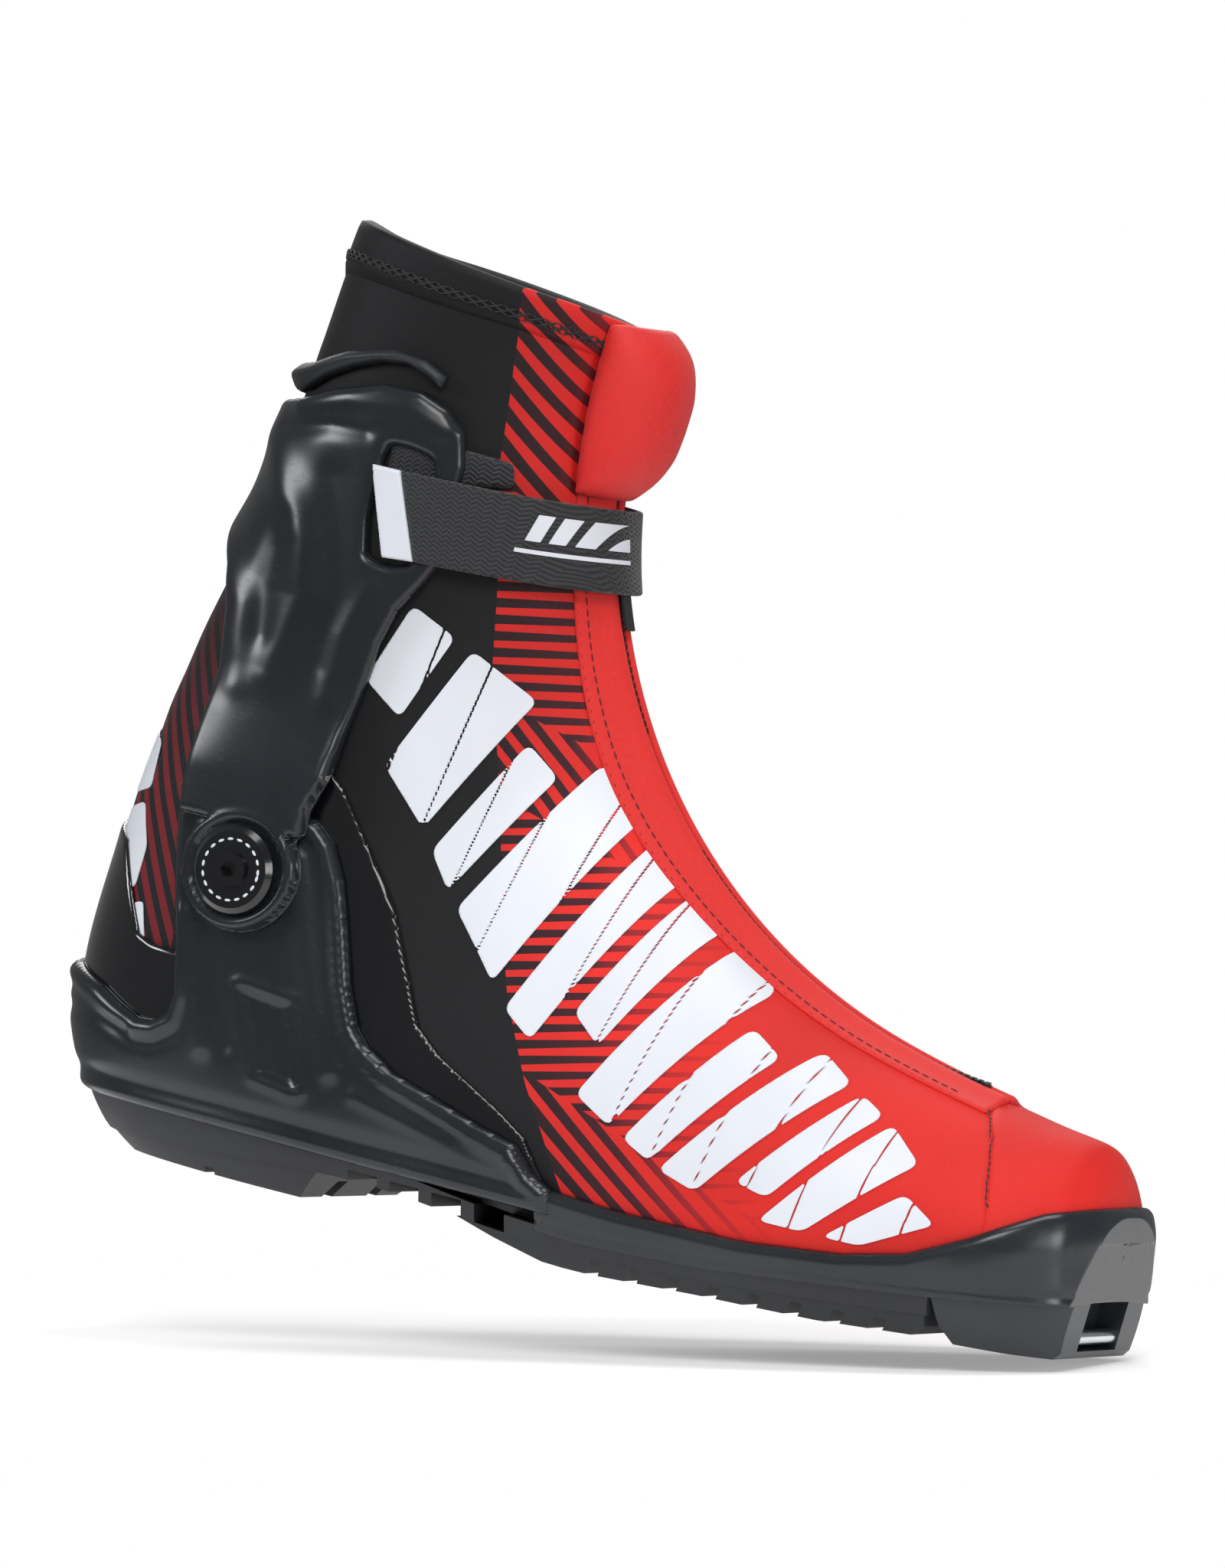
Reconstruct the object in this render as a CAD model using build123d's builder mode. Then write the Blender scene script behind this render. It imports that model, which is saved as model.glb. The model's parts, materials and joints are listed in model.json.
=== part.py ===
"""Right cross country skate boot: a moulded sole with a steel toe bar, a heel shell with ankle arms, a soft
upper that splits at the ankle, a cuff that pivots on two bushes, a hook-and-loop strap and a front zip.

Frame: +X points to the toe, +Z up, and -Y is the boot's outer side. The origin lies on the floor, below the
middle of the boot's box. All sizes are in millimetres.
"""

from build123d import *
from math import cos, radians, sin
import os

# ---------------------------------------------------------------- driving dimensions
INSTEP_X, INSTEP_Z = 116.0, 218.0     # the axis that the instep curves round, in front of the ankle
PIVOT_X, PIVOT_Z = -95.0, 81.0        # the ankle pivot's axis
FLEX_FORWARD, FLEX_BACK = 15.0, 4.0   # degrees that the cuff turns
REACH = 90.0                          # half width of every cutting slab

WALL = 2.0             # soft upper
LINING_INNER = -6.0    # inner face of the lining, from the outer form
FILM = (0.15, 1.2)     # overlays bonded on the upper
RAND = (0.15, 3.0)
SHELL = (1.5, 4.6)
CHASSIS_GROW = 2.4
TREAD_GROW = 1.6

BOSS_R = 16.5          # round end of the cuff's arms
BOSS_Y = 43.2          # flat face that the cuff turns on
CUFF_PLY = 3.8
BUSH_R, BUSH_BORE_R = 6.0, 3.0
CAP_R, CAP_T = 11.5, 2.4

STRAP_Z0, STRAP_Z1 = 170.0, 192.0
TONGUE_HALF = 17.5
BAR_X, BAR_Z, BAR_R = 147.0, 12.5, 2.0
BAR_HALF = 19.0
JAW_HALF = 13.0        # half width of the recess round the toe bar
GROOVE_Y, GROOVE_W, GROOVE_D = 13.5, 6.0, 5.0   # the two guide grooves

# The boot's outer form, as sections on planes that fan round the instep axis. Each station is
# (angle back from straight down, top radius, widest radius, bottom radius, half width).
STATIONS = [
    (-9.9, 161.0, 187, 224, 22.0),
    (-8.0, 158.5, 187, 224, 30.5),
    (-4.0, 156.0, 187, 224, 38.5),
    (2.0, 153.0, 187, 225, 43.0),
    (10.0, 151.0, 189, 231, 45.5),
    (20.0, 150.5, 198, 243, 46.5),
    (30.0, 150.5, 211, 264, 44.5),
    (38.0, 150.5, 228, 286.5, 41.5),
    (46.0, 150.5, 248, 322.5, 39.0),
    (54.0, 150.5, 256, 324.5, 37.8),
    (62.0, 150.5, 240, 297.5, 37.2),
    (70.0, 150.5, 218, 271, 37.0),
    (80.0, 150.5, 200, 244, 37.5),
    (90.0, 150.5, 193, 234, 38.0),
    (99.0, 150.5, 191, 231, 38.5),
]
COLLAR_ANGLE, HEM_ANGLE = 99.0, 96.6
TOP_POWER, BOTTOM_POWER = 2.0, 2.4

# Side-view lines, as (x, z)
RAND_TOP = [(-165, 21), (-129, 21), (-107, 26), (-83, 31), (-60, 30), (-39, 26), (-8, 21), (30, 19.5),
            (66, 20), (93, 23), (110, 27), (125, 35), (139, 44), (150, 48.5), (165, 49)]
SOLE_TOP = [(-165, 15), (-114, 15), (-71, 15), (-36, 14), (-8, 11), (20, 10), (57, 12), (81, 14.5),
            (118, 18.5), (165, 24)]
CHASSIS_LOW = [(-165, 7.5), (-72, 7.5), (-50, 8.5), (-25, 7.5), (0, 5.5), (20, 5.5), (60, 7),
               (118, 12), (165, 17)]
SHELL_TOP_FRONT = [(8, 21), (-1, 29), (-26, 35), (-50, 44), (-59, 58), (-68, 83), (-79, 98)]
SHELL_REAR = [(-117, 98), (-114, 70), (-110, 48), (-110, 40), (-117, 37), (-133, 42), (-165, 47)]


# ---------------------------------------------------------------- shared helpers
def fan_plane(angle):
    """The section plane at an angle back from straight down: local x runs out from the instep axis."""
    a = radians(angle)
    return Plane(origin=(INSTEP_X, 0, INSTEP_Z), x_dir=(-sin(a), 0, -cos(a)), z_dir=(cos(a), 0, -sin(a)))


def fan_point(angle, radius):
    """A side-view point (x, z) at an angle and radius from the instep axis."""
    a = radians(angle)
    return INSTEP_X - radius * sin(a), INSTEP_Z - radius * cos(a)


def half_section(top, widest, bottom, half):
    """Points down one side of a section, from the top ridge to the bottom one."""
    points = []
    for step in range(9):
        t = radians(22.5 * step)
        power = TOP_POWER if step < 4 else BOTTOM_POWER
        rise = widest - top if step < 4 else bottom - widest
        way = -1 if step < 4 else 1
        radius = widest if step == 4 else widest + way * rise * abs(cos(t)) ** (2 / power)
        points.append((radius, half * abs(sin(t)) ** (2 / power)))
    return points


def last(side, end=None):
    """The outer form grown by side across its width and by end at its ridges: one loft, mirrored and capped."""
    end = side if end is None else end
    rows = []
    for angle, top, widest, bottom, half in STATIONS:
        place = fan_plane(angle if angle > -9 else angle - end / 3.2)
        points = [place.from_local_coords(Vector(*point, 0))
                  for point in half_section(top - end, widest, bottom + end, half + side)]
        rows.append(Wire([Edge.make_spline(points, tangents=(Vector(0, 1, 0), Vector(0, -1, 0)),
                                           scale=False)]))
    skin = Shell.make_loft(rows).faces()
    caps = [Face(Wire([row.edge(), row.edge().mirror(Plane.XZ)])) for row in (rows[0], rows[-1])]
    return Solid(Shell([*skin, *(face.mirror(Plane.XZ) for face in skin), *caps]))


def slab(*points, smooth=False):
    """Everything across the boot inside a closed side-view outline."""
    with BuildPart() as block:
        with BuildSketch(Plane.XZ):
            with BuildLine():
                if smooth:
                    Spline(*points, periodic=True)
                else:
                    Polyline(*points, close=True)
            make_face()
        extrude(amount=REACH, both=True)
    return block.part


def between(low, high, lift_low=0.0, lift_high=0.0, x0=-160.0, x1=160.0):
    """Everything across the boot between two side-view lines, each lifted by an amount."""
    with BuildPart() as block:
        with BuildSketch(Plane.XZ):
            with BuildLine():
                under = Spline(*[(x, z + lift_low) for x, z in low])
                over = Spline(*[(x, z + lift_high) for x, z in high])
                Line(under @ 0, over @ 0)
                Line(under @ 1, over @ 1)
            make_face()
        extrude(amount=REACH, both=True)
        with BuildSketch(Plane.XZ):
            with Locations(((x0 + x1) / 2, 100)):
                Rectangle(x1 - x0, 400)
        extrude(amount=REACH, both=True, mode=Mode.INTERSECT)
    return block.part


def fan(angle0, angle1, radius0=60.0, radius1=420.0):
    """Everything across the boot between two fan planes."""
    return slab(fan_point(angle0, radius0), fan_point(angle0, radius1),
                fan_point((angle0 + angle1) / 2, radius1 * 1.2), fan_point(angle1, radius1),
                fan_point(angle1, radius0))


def box(x0, x1, y0, y1, z0, z1):
    """A plain block between two corners."""
    with BuildPart() as block:
        with Locations(((x0 + x1) / 2, (y0 + y1) / 2, (z0 + z1) / 2)):
            Box(x1 - x0, y1 - y0, z1 - z0)
    return block.part


def pivot_disc(radius, y0, y1, side):
    """A disc on the ankle axis, from y0 to y1 out from the middle, on one side."""
    with BuildPart() as disc:
        with BuildSketch(Plane.XZ.offset(-side * y0)):
            with Locations((PIVOT_X, PIVOT_Z)):
                Circle(radius)
        extrude(amount=-side * (y1 - y0))
    return disc.part


def from_pivot(angle, radius):
    """A side-view point (x, z) at an angle up from +X and a radius, from the ankle axis."""
    return PIVOT_X + radius * cos(radians(angle)), PIVOT_Z + radius * sin(radians(angle))


os.makedirs("parts", exist_ok=True)
FORMS = {}


def form(side, end=None):
    """The outer form at a growth, lofted once."""
    if (side, end) not in FORMS:
        FORMS[side, end] = last(side, end)
    return FORMS[side, end]


def save(builder, name):
    """Labels a finished sub-part and writes it."""
    builder.part.label = name
    export_step(builder.part, f"parts/{name}.step")


def core(grow, *zones, cut=()):
    """The solid form at one growth (or a side and an end growth), inside every zone and outside every cut."""
    with BuildPart() as body:
        add(form(*grow) if isinstance(grow, tuple) else form(grow))
        for zone in zones:
            add(zone, mode=Mode.INTERSECT)
        for block in cut:
            add(block, mode=Mode.SUBTRACT)
    return body


def layer(inner, outer, *zones, cut=()):
    """A layer of the form between two growths, kept inside every zone and outside every cut."""
    with BuildPart() as sheet:
        add(core(outer, *zones).part)
        add(core(inner, *zones).part, mode=Mode.SUBTRACT)
        for block in cut:
            add(block, mode=Mode.SUBTRACT)
    return sheet


# ---------------------------------------------------------------- zones that the pieces share
FLEX_LOW, FLEX_HIGH = 16.0, 16.0 + FLEX_FORWARD + 1.5       # front of the ankle split, degrees up from +X
HEEL_LOW, HEEL_HIGH = 168.0, 168.0 - FLEX_BACK - 1.5        # back of the ankle split
foot_zone = slab((PIVOT_X, PIVOT_Z), from_pivot(FLEX_LOW, 500), (500, -200), (-500, -200),
                 from_pivot(HEEL_LOW, 500))
shaft_zone = slab((PIVOT_X, PIVOT_Z), from_pivot(FLEX_HIGH, 500), (200, 600), (-400, 600),
                  from_pivot(HEEL_HIGH, 500))
with BuildPart() as eye:
    with BuildSketch(Plane.XZ):
        with Locations((PIVOT_X, PIVOT_Z)):
            Circle(9)
    extrude(amount=REACH, both=True)
ankle_eye = eye.part
far_front = box(152, 200, -REACH, REACH, -50, 100)
toe_facet = slab((151.8, 38), (148.9, 5), (175, 5), (175, 38))     # the flat face across the toe
heel_end = slab((-149.5, 19), (-144.5, 11), (-137, 0), (-137, -10), (-200, -10), (-200, 19))
above_sole = between(SOLE_TOP, [(-165, 300), (0, 300), (165, 300)])
over_rand = between(RAND_TOP, [(-165, 300), (0, 300), (165, 300)], lift_low=0.3)
rand_band = between(SOLE_TOP, RAND_TOP)
grooves = [box(-140, 117, side * GROOVE_Y - GROOVE_W / 2, side * GROOVE_Y + GROOVE_W / 2, -1, GROOVE_D)
           for side in (-1, 1)]

shell_zone = slab(*SHELL_TOP_FRONT, *SHELL_REAR, (-165, 10), (8, 10))
CUFF_FRONT = [(-79, 97), (-77, 109), (-76, 120), (-74, 132), (-72, 146), (-69, 156), (-62, 167), (-60, 183),
              (-60, 197), (-61, 205), (-66, 210), (-73, 213)]
CUFF_BACK = [(-84, 213), (-97, 209), (-110, 204.5), (-165, 203), (-165, 165), (-121, 160), (-117, 140),
             (-115, 125), (-116, 97)]
cuff_zone = slab(*CUFF_FRONT, *CUFF_BACK)
slot = box(-80, -66, -REACH, REACH, 168, 195)

# ---------------------------------------------------------------- soft upper
upper_foot = layer(-WALL, 0.0, foot_zone, above_sole, cut=(ankle_eye,))
save(upper_foot, "upper_foot")
upper_shaft = layer(-WALL, 0.0, shaft_zone, fan(40, COLLAR_ANGLE), cut=(ankle_eye,))
save(upper_shaft, "upper_shaft")
lining_foot = layer(LINING_INNER, -WALL - 0.15, foot_zone, above_sole, cut=(
    ankle_eye, between(SOLE_TOP, SOLE_TOP, lift_low=-5, lift_high=5.6)))
save(lining_foot, "lining_foot")
shaft_lining = layer(LINING_INNER, -WALL - 0.15, shaft_zone, fan(40, HEM_ANGLE), cut=(ankle_eye,))
save(shaft_lining, "shaft_lining")
collar_band = layer(0.15, 1.3, fan(95.6, COLLAR_ANGLE))
save(collar_band, "collar_band")
lasting_board = core(-WALL - 0.3, between(SOLE_TOP, SOLE_TOP, lift_low=0.15, lift_high=2.2))
save(lasting_board, "lasting_board")
insole = core(-WALL - 0.6, between(SOLE_TOP, SOLE_TOP, lift_low=2.4, lift_high=5.4))
save(insole, "insole")
toe_zone = slab((98, 90), (102, 71), (110, 66), (119, 58), (124, 48), (128, 37), (132, 20), (190, 20), (190, 90))
toe_cap = layer(*FILM, toe_zone, over_rand)
save(toe_cap, "toe_cap")
overlay_zone = slab((-64, 93), (-53, 80), (-46, 67), (-38, 52), (-30, 46), (-8, 35), (4, 31), (8, 10), (-40, 10),
                    (-80, 10), (-110, 60), (-92, 104), (-72, 104))
quarter_overlay = layer(*FILM, overlay_zone, foot_zone, over_rand, cut=(ankle_eye,))
save(quarter_overlay, "quarter_overlay")
counter_zone = slab((-112, 30), (-112, 54), (-121, 58), (-127, 64), (-137, 82), (-160, 84), (-165, 30))
heel_counter = layer(*FILM, counter_zone, foot_zone, over_rand)
save(heel_counter, "heel_counter")

# ---------------------------------------------------------------- front zip and tongue
def ribbon(half_width, angle0, angle1):
    """The strip of the instep inside a half width, between two fan angles."""
    with BuildPart() as strip:
        add(fan(angle0, angle1, 60, 190))
        add(box(-200, 200, -half_width, half_width, -10, 300), mode=Mode.INTERSECT)
    return strip.part


ZIP_LOW, ZIP_HIGH, SPLIT_LOW, SPLIT_HIGH = 3.0, 86.0, 44.0, 57.0
zip_tape_foot = layer((0.1, 0.1), (0.7, 0.7), ribbon(8, ZIP_LOW, SPLIT_LOW))
save(zip_tape_foot, "zip_tape_foot")
zip_tape_shaft = layer((0.1, 0.1), (0.7, 0.7), ribbon(8, SPLIT_HIGH, ZIP_HIGH))
save(zip_tape_shaft, "zip_tape_shaft")
for name, low, high in (("zip_teeth_foot", ZIP_LOW + 1, SPLIT_LOW), ("zip_teeth_shaft", SPLIT_HIGH, ZIP_HIGH - 1)):
    count = int((high - low) / 0.8)
    with BuildPart() as teeth:
        with BuildSketch(Plane.XZ):
            for index in range(count):
                angle = low + (index + 0.5) * (high - low) / count
                x, z = fan_point(angle, 149.15)
                with Locations(Location((x, z), 90 - angle)):
                    Rectangle(0.9, 1.15)
            with BuildLine():
                inner = [fan_point(low + (high - low) * k / 2, 149.3) for k in range(3)]
                outer = [fan_point(low + (high - low) * k / 2, 149.7) for k in range(3)]
                ThreePointArc(*inner)
                Line(inner[2], outer[2])
                ThreePointArc(*reversed(outer))
                Line(outer[0], inner[0])
            make_face()
        extrude(amount=2.2, both=True)
        add(form(0.7, 0.7), mode=Mode.SUBTRACT)
    save(teeth, name)

SLIDER_ANGLE = 76.0
with BuildPart() as zip_slider:
    with BuildSketch(Plane.XZ):
        with BuildLine():
            inner = [fan_point(SLIDER_ANGLE + k, 148.25) for k in (-3.2, 0, 3.2)]
            outer = [fan_point(SLIDER_ANGLE + k, 147.25) for k in (3.2, 0, -3.2)]
            ThreePointArc(*inner)
            Line(inner[2], outer[0])
            ThreePointArc(*outer)
            Line(outer[2], inner[0])
        make_face()
    extrude(amount=3.6, both=True)
save(zip_slider, "zip_slider")
with BuildPart() as zip_pull:
    with BuildSketch(Plane.XZ):
        with BuildLine():
            inner = [fan_point(SLIDER_ANGLE - k, 147.0) for k in (1.6, 5, 8.4)]
            outer = [fan_point(SLIDER_ANGLE - k, 146.3) for k in (8.4, 5, 1.6)]
            ThreePointArc(*inner)
            Line(inner[2], outer[0])
            ThreePointArc(*outer)
            Line(outer[2], inner[0])
        make_face()
    extrude(amount=2.6, both=True)
save(zip_pull, "zip_pull")

with BuildPart() as tongue:
    with BuildSketch(Plane.XZ):
        with BuildLine():
            Spline((-30, 195), (-21, 199), (-15, 208), (-13.5, 221), (-17, 236), (-31, 241))
            Polyline((-31, 241), (-44, 240), (-44, 195), (-30, 195))
        make_face()
    extrude(amount=TONGUE_HALF, both=True)
    fillet(tongue.edges().filter_by(Axis.Y, reverse=True).group_by(Axis.Y)[0], 5)
    fillet(tongue.edges().filter_by(Axis.Y, reverse=True).group_by(Axis.Y)[-1], 5)
    add(form(2.4), mode=Mode.SUBTRACT)
save(tongue, "tongue")

# ---------------------------------------------------------------- shell, cuff and ankle pivot
heel_shell = layer(*SHELL, shell_zone, above_sole)
with heel_shell:
    for side in (-1, 1):
        add(pivot_disc(13, 30, BOSS_Y, side) - form(SHELL[0]))
        add(pivot_disc(BUSH_BORE_R, 30, 60, side), mode=Mode.SUBTRACT)
        add(pivot_disc(5.3, 30, 40.6, side), mode=Mode.SUBTRACT)
save(heel_shell, "heel_shell")
rand = layer(*RAND, rand_band, box(8.3, 160, -REACH, REACH, -10, 300), cut=(far_front, toe_facet))
save(rand, "rand")

PLATE_IN, PLATE_OUT = BOSS_Y + 0.3, BOSS_Y + 0.3 + CUFF_PLY
cuff = layer(*SHELL, cuff_zone, box(-165, 0, -REACH, REACH, 112, 300), cut=(slot,))
with cuff:
    with BuildPart(mode=Mode.PRIVATE) as arms:
        for side in (-1, 1):
            with BuildPart(mode=Mode.PRIVATE) as plate:
                add(slab((-79, 90), *CUFF_FRONT[:3], (-76.5, 117), (-115.5, 117), (-116, 97), (-113, 85)))
                low, high = sorted((side * 30, side * PLATE_OUT))
                add(box(-165, 0, low, high, 0, 300), mode=Mode.INTERSECT)
                add(form(SHELL[0]), mode=Mode.SUBTRACT)
                add(pivot_disc(28, 20, PLATE_IN, side), mode=Mode.SUBTRACT)
                add(pivot_disc(BOSS_R, PLATE_IN, PLATE_OUT, side))
                add(pivot_disc(BUSH_R + 0.05, 20, 70, side), mode=Mode.SUBTRACT)
            add(plate.part)
    add(arms.part)
save(cuff, "cuff")
rim_zone = slab((-64, 213), (-73, 213.3), (-84, 213.3), (-97, 209.3), (-110, 204.8), (-165, 203.3), (-165, 211),
                (-122, 211), (-110, 214), (-95, 218), (-78, 220), (-68, 217))
cuff_rim = layer(0.3, 3.9, rim_zone)
save(cuff_rim, "cuff_rim")
cuff_lining = layer(0.15, 1.35, cuff_zone, box(-165, 0, -REACH, REACH, 122, 300))
save(cuff_lining, "cuff_lining")

for side, name in ((-1, "lateral"), (1, "medial")):
    with BuildPart() as bushing:
        add(pivot_disc(BUSH_R, BOSS_Y, PLATE_OUT + 0.3, side))
        add(pivot_disc(BUSH_BORE_R, 20, 70, side), mode=Mode.SUBTRACT)
    save(bushing, f"pivot_bushing_{name}")
    with BuildPart() as cap:
        add(pivot_disc(CAP_R, PLATE_OUT + 0.3, PLATE_OUT + 0.3 + CAP_T, side))
        chamfer(cap.faces().sort_by(Axis.Y)[0 if side < 0 else -1].edges(), 1.4)
        add(pivot_disc(BUSH_BORE_R, 20, 70, side), mode=Mode.SUBTRACT)
    save(cap, f"pivot_cap_{name}")
    with BuildPart() as screw:
        add(pivot_disc(2.9, 39.3, PLATE_OUT + 0.3 + CAP_T, side))
        add(pivot_disc(4.6, PLATE_OUT + 0.3 + CAP_T, PLATE_OUT + 1.5 + CAP_T, side))
        with BuildSketch(Plane.XZ.offset(-side * (PLATE_OUT + 1.5 + CAP_T))):
            with Locations((PIVOT_X, PIVOT_Z)):
                RegularPolygon(2.3, 6)
        extrude(amount=side * 3.0, mode=Mode.SUBTRACT)
    save(screw, f"pivot_screw_{name}")
    with BuildPart() as nut:
        add(pivot_disc(5.0, 39.3, 40.6, side))
        add(pivot_disc(2.95, 20, 70, side), mode=Mode.SUBTRACT)
    save(nut, f"pivot_nut_{name}")

# ---------------------------------------------------------------- strap
STRAP_IN, STRAP_OUT = (4.9, 4.5), (6.5, 6.1)
band = box(-200, 100, -REACH, REACH, STRAP_Z0, STRAP_Z1)
FOLD_X = -72.0
strap_zone = slab((-67, 160), (-68, 170), (-75, 192), (-76, 210), (0, 210), (0, 160))
medial_front = box(FOLD_X + 0.3, 100, 0, REACH, 0, 300)
lateral_all = box(-100, 100, -REACH, 0.0, 0, 300)
with BuildPart() as reach:
    add(medial_front)
    add(lateral_all & strap_zone)
strap = layer(STRAP_IN, STRAP_OUT, band, reach.part)
save(strap, "strap")
tip_zone = slab((-67.2, 169), (-68.2, 170), (-75.2, 192), (-75.5, 194), (-82, 194), (-81, 191), (-73, 170))
strap_tip = layer(STRAP_IN, STRAP_OUT, tip_zone, band, box(-100, 0, -REACH, 0, 0, 300))
save(strap_tip, "strap_tip")
strap_base = layer(STRAP_IN, STRAP_OUT, band, box(-94, FOLD_X, 0, REACH, 0, 300))
save(strap_base, "strap_base")
with BuildPart() as strap_rivets:
    for x, z in ((-87, 176), (-87, 186)):
        with BuildSketch(Plane.XZ.offset(-47.0)):
            with Locations((x, z)):
                Circle(2.2)
        extrude(amount=4)
    add(form(*STRAP_OUT), mode=Mode.SUBTRACT)
save(strap_rivets, "strap_rivets")

# ---------------------------------------------------------------- sole
notch = [slab((118.5, -5), (117.2, 12.5), (121.8, 5.5), (123.5, -5)),
         box(-95, -92, -REACH, REACH, -1, 1.6)]
mouth = box(142.6, 160, -JAW_HALF, JAW_HALF, 9.4, 23.4)
toe_block_zone = slab((118.2, 17), (120.5, 10.2), (124, 5.8), (138, 6.4), (147.6, 7.2), (149.4, 9.2), (152, 14),
                      (152, 38), (144.5, 38), (140, 24.5), (118, 18.2))
outsole = core(CHASSIS_GROW, between(CHASSIS_LOW, SOLE_TOP, lift_high=-0.15, x1=118.0), cut=(heel_end, *grooves))
with outsole:
    for index in range(4):
        for y0, y1 in ((-60, -20), (-7, 7), (20, 60)):
            x0 = -50 + 13 * index
            add(box(x0, x0 + 9, y0, y1, 0, 11.2), mode=Mode.SUBTRACT)
save(outsole, "outsole")
heel_zone = slab((-121, 0), (-66, 0), (-60, 8), (-60, 14), (-160, 14), (-160, 7.6), (-136, 7.6))
heel_tread = core(TREAD_GROW, heel_zone, between([(-165, -5), (0, -5), (165, -5)], CHASSIS_LOW, lift_high=-0.1),
                  cut=(*grooves, *notch))
save(heel_tread, "heel_tread")
LUG_PITCH = 11.5
TREAD_LOW = [(-20, 7.6), (-6, 3.5), (8, 0.2), (14, 0), (22, 0.1), (53, 2.2), (87, 3.5), (117, 6.2)]
fore_zone = slab(*TREAD_LOW, (117, 14), (-20, 14))
forefoot_tread = core(TREAD_GROW, fore_zone,
                      between([(-165, -5), (0, -5), (165, -5)], CHASSIS_LOW, lift_high=-0.1), cut=grooves)
with forefoot_tread:
    for index in range(9):
        x = 18 + LUG_PITCH * index
        z = 0.0 + max(0, (x - 22) * 0.055)
        add(slab((x, z - 4), (x + 5.2, z + 4.0), (x + 8.6, z + 4.0), (x + 4.4, z - 4)), mode=Mode.SUBTRACT)
save(forefoot_tread, "forefoot_tread")
with BuildPart() as toe_block:
    add(form(1.0))
    add(toe_block_zone, mode=Mode.INTERSECT)
    add(box(136, 152, -21, 21, 6.6, 34) & toe_block_zone)
    add(form(*RAND[1:]) & rand_band, mode=Mode.SUBTRACT)
    add(mouth, mode=Mode.SUBTRACT)
    add(toe_facet, mode=Mode.SUBTRACT)
    with BuildSketch(Plane.XZ):
        with Locations((BAR_X, BAR_Z)):
            Circle(BAR_R)
    extrude(amount=BAR_HALF, both=True, mode=Mode.SUBTRACT)
save(toe_block, "toe_block")
with BuildPart() as toe_bar:
    with BuildSketch(Plane.XZ):
        with Locations((BAR_X, BAR_Z)):
            Circle(BAR_R)
    extrude(amount=BAR_HALF, both=True)
save(toe_bar, "toe_bar")
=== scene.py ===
"""Cross country skate boot: the visible pieces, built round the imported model's frame."""

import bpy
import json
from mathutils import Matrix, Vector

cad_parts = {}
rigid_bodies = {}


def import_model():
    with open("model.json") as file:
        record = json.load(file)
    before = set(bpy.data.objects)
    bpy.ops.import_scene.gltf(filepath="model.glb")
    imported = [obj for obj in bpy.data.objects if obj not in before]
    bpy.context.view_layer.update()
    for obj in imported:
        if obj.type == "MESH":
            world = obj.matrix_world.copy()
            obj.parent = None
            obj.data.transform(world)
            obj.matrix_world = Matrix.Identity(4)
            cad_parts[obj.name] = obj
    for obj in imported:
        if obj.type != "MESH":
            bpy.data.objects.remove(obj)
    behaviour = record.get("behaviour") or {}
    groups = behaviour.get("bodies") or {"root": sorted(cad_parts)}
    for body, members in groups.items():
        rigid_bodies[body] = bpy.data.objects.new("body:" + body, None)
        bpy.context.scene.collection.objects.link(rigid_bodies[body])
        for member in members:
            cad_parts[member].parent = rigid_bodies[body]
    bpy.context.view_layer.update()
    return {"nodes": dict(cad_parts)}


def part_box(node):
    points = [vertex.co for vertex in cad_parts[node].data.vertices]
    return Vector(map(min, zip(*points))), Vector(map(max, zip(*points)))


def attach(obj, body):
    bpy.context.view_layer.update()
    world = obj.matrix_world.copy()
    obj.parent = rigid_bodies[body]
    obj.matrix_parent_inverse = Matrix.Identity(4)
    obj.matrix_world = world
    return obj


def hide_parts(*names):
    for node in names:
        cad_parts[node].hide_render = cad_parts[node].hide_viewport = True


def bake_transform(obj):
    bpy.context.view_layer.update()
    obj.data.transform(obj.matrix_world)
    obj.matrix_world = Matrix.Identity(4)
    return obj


bl_info = {
    "name": "Cross Country Skate Boot",
    "version": (1, 0, 0),
    "blender": (4, 5, 0),
    "location": "View3D > Sidebar > Skate Boot",
    "description": "Builds a cross country skate boot with its upper, cuff, shell, strap and stitching",
    "category": "Add Mesh",
}

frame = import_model()

import json
from math import cos, pi, radians, sin, sqrt

import bmesh
import bpy
import numpy as np
from mathutils import Matrix, Vector

MM = 0.001
AXIS_X, AXIS_Z = 116.0, 218.0          # the axis that the instep curves round
PIVOT_X, PIVOT_Z = -95.0, 81.0         # the ankle pivot
COLLAR_TILT = 2.5                      # how many degrees lower the collar lies on its inner side
MM_PER_DEGREE = 3.2                    # of fan angle, at the collar
MERGE = 0.004                          # points nearer than this, in millimetres, become one
THREAD = 0.00045                       # metres
STRIPE_PITCH = 0.0043                  # metres
BODY_FOOT, BODY_CUFF, BODY_STRAP = "boot", "cuff", "strap"

# The boot's outer form: (angle back from straight down, top radius, widest radius, bottom radius, half width)
STATIONS = np.array([
    (-10.7, 187.0, 187, 187, 0.0), (-10.66, 176.0, 187, 205, 6.5), (-10.5, 169.5, 187, 214, 12.5),
    (-10.1, 164.5, 187, 220, 19.0), (-9.3, 160.9, 187, 223, 25.0), (-8.0, 158.5, 187, 224, 30.5),
    (-4.0, 156.0, 187, 224, 38.5), (2.0, 153.0, 187, 225, 43.0), (10.0, 151.0, 189, 231, 45.5),
    (20.0, 150.5, 198, 243, 46.5), (30.0, 150.5, 211, 264, 44.5), (38.0, 150.5, 228, 286.5, 41.5),
    (46.0, 150.5, 248, 322.5, 39.0), (54.0, 150.5, 256, 324.5, 37.8), (62.0, 150.5, 240, 297.5, 37.2),
    (70.0, 150.5, 218, 271, 37.0), (80.0, 150.5, 200, 244, 37.5), (90.0, 150.5, 193, 234, 38.0),
    (99.0, 150.5, 191, 231, 38.5)])
LAST = len(STATIONS) - 1
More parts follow.
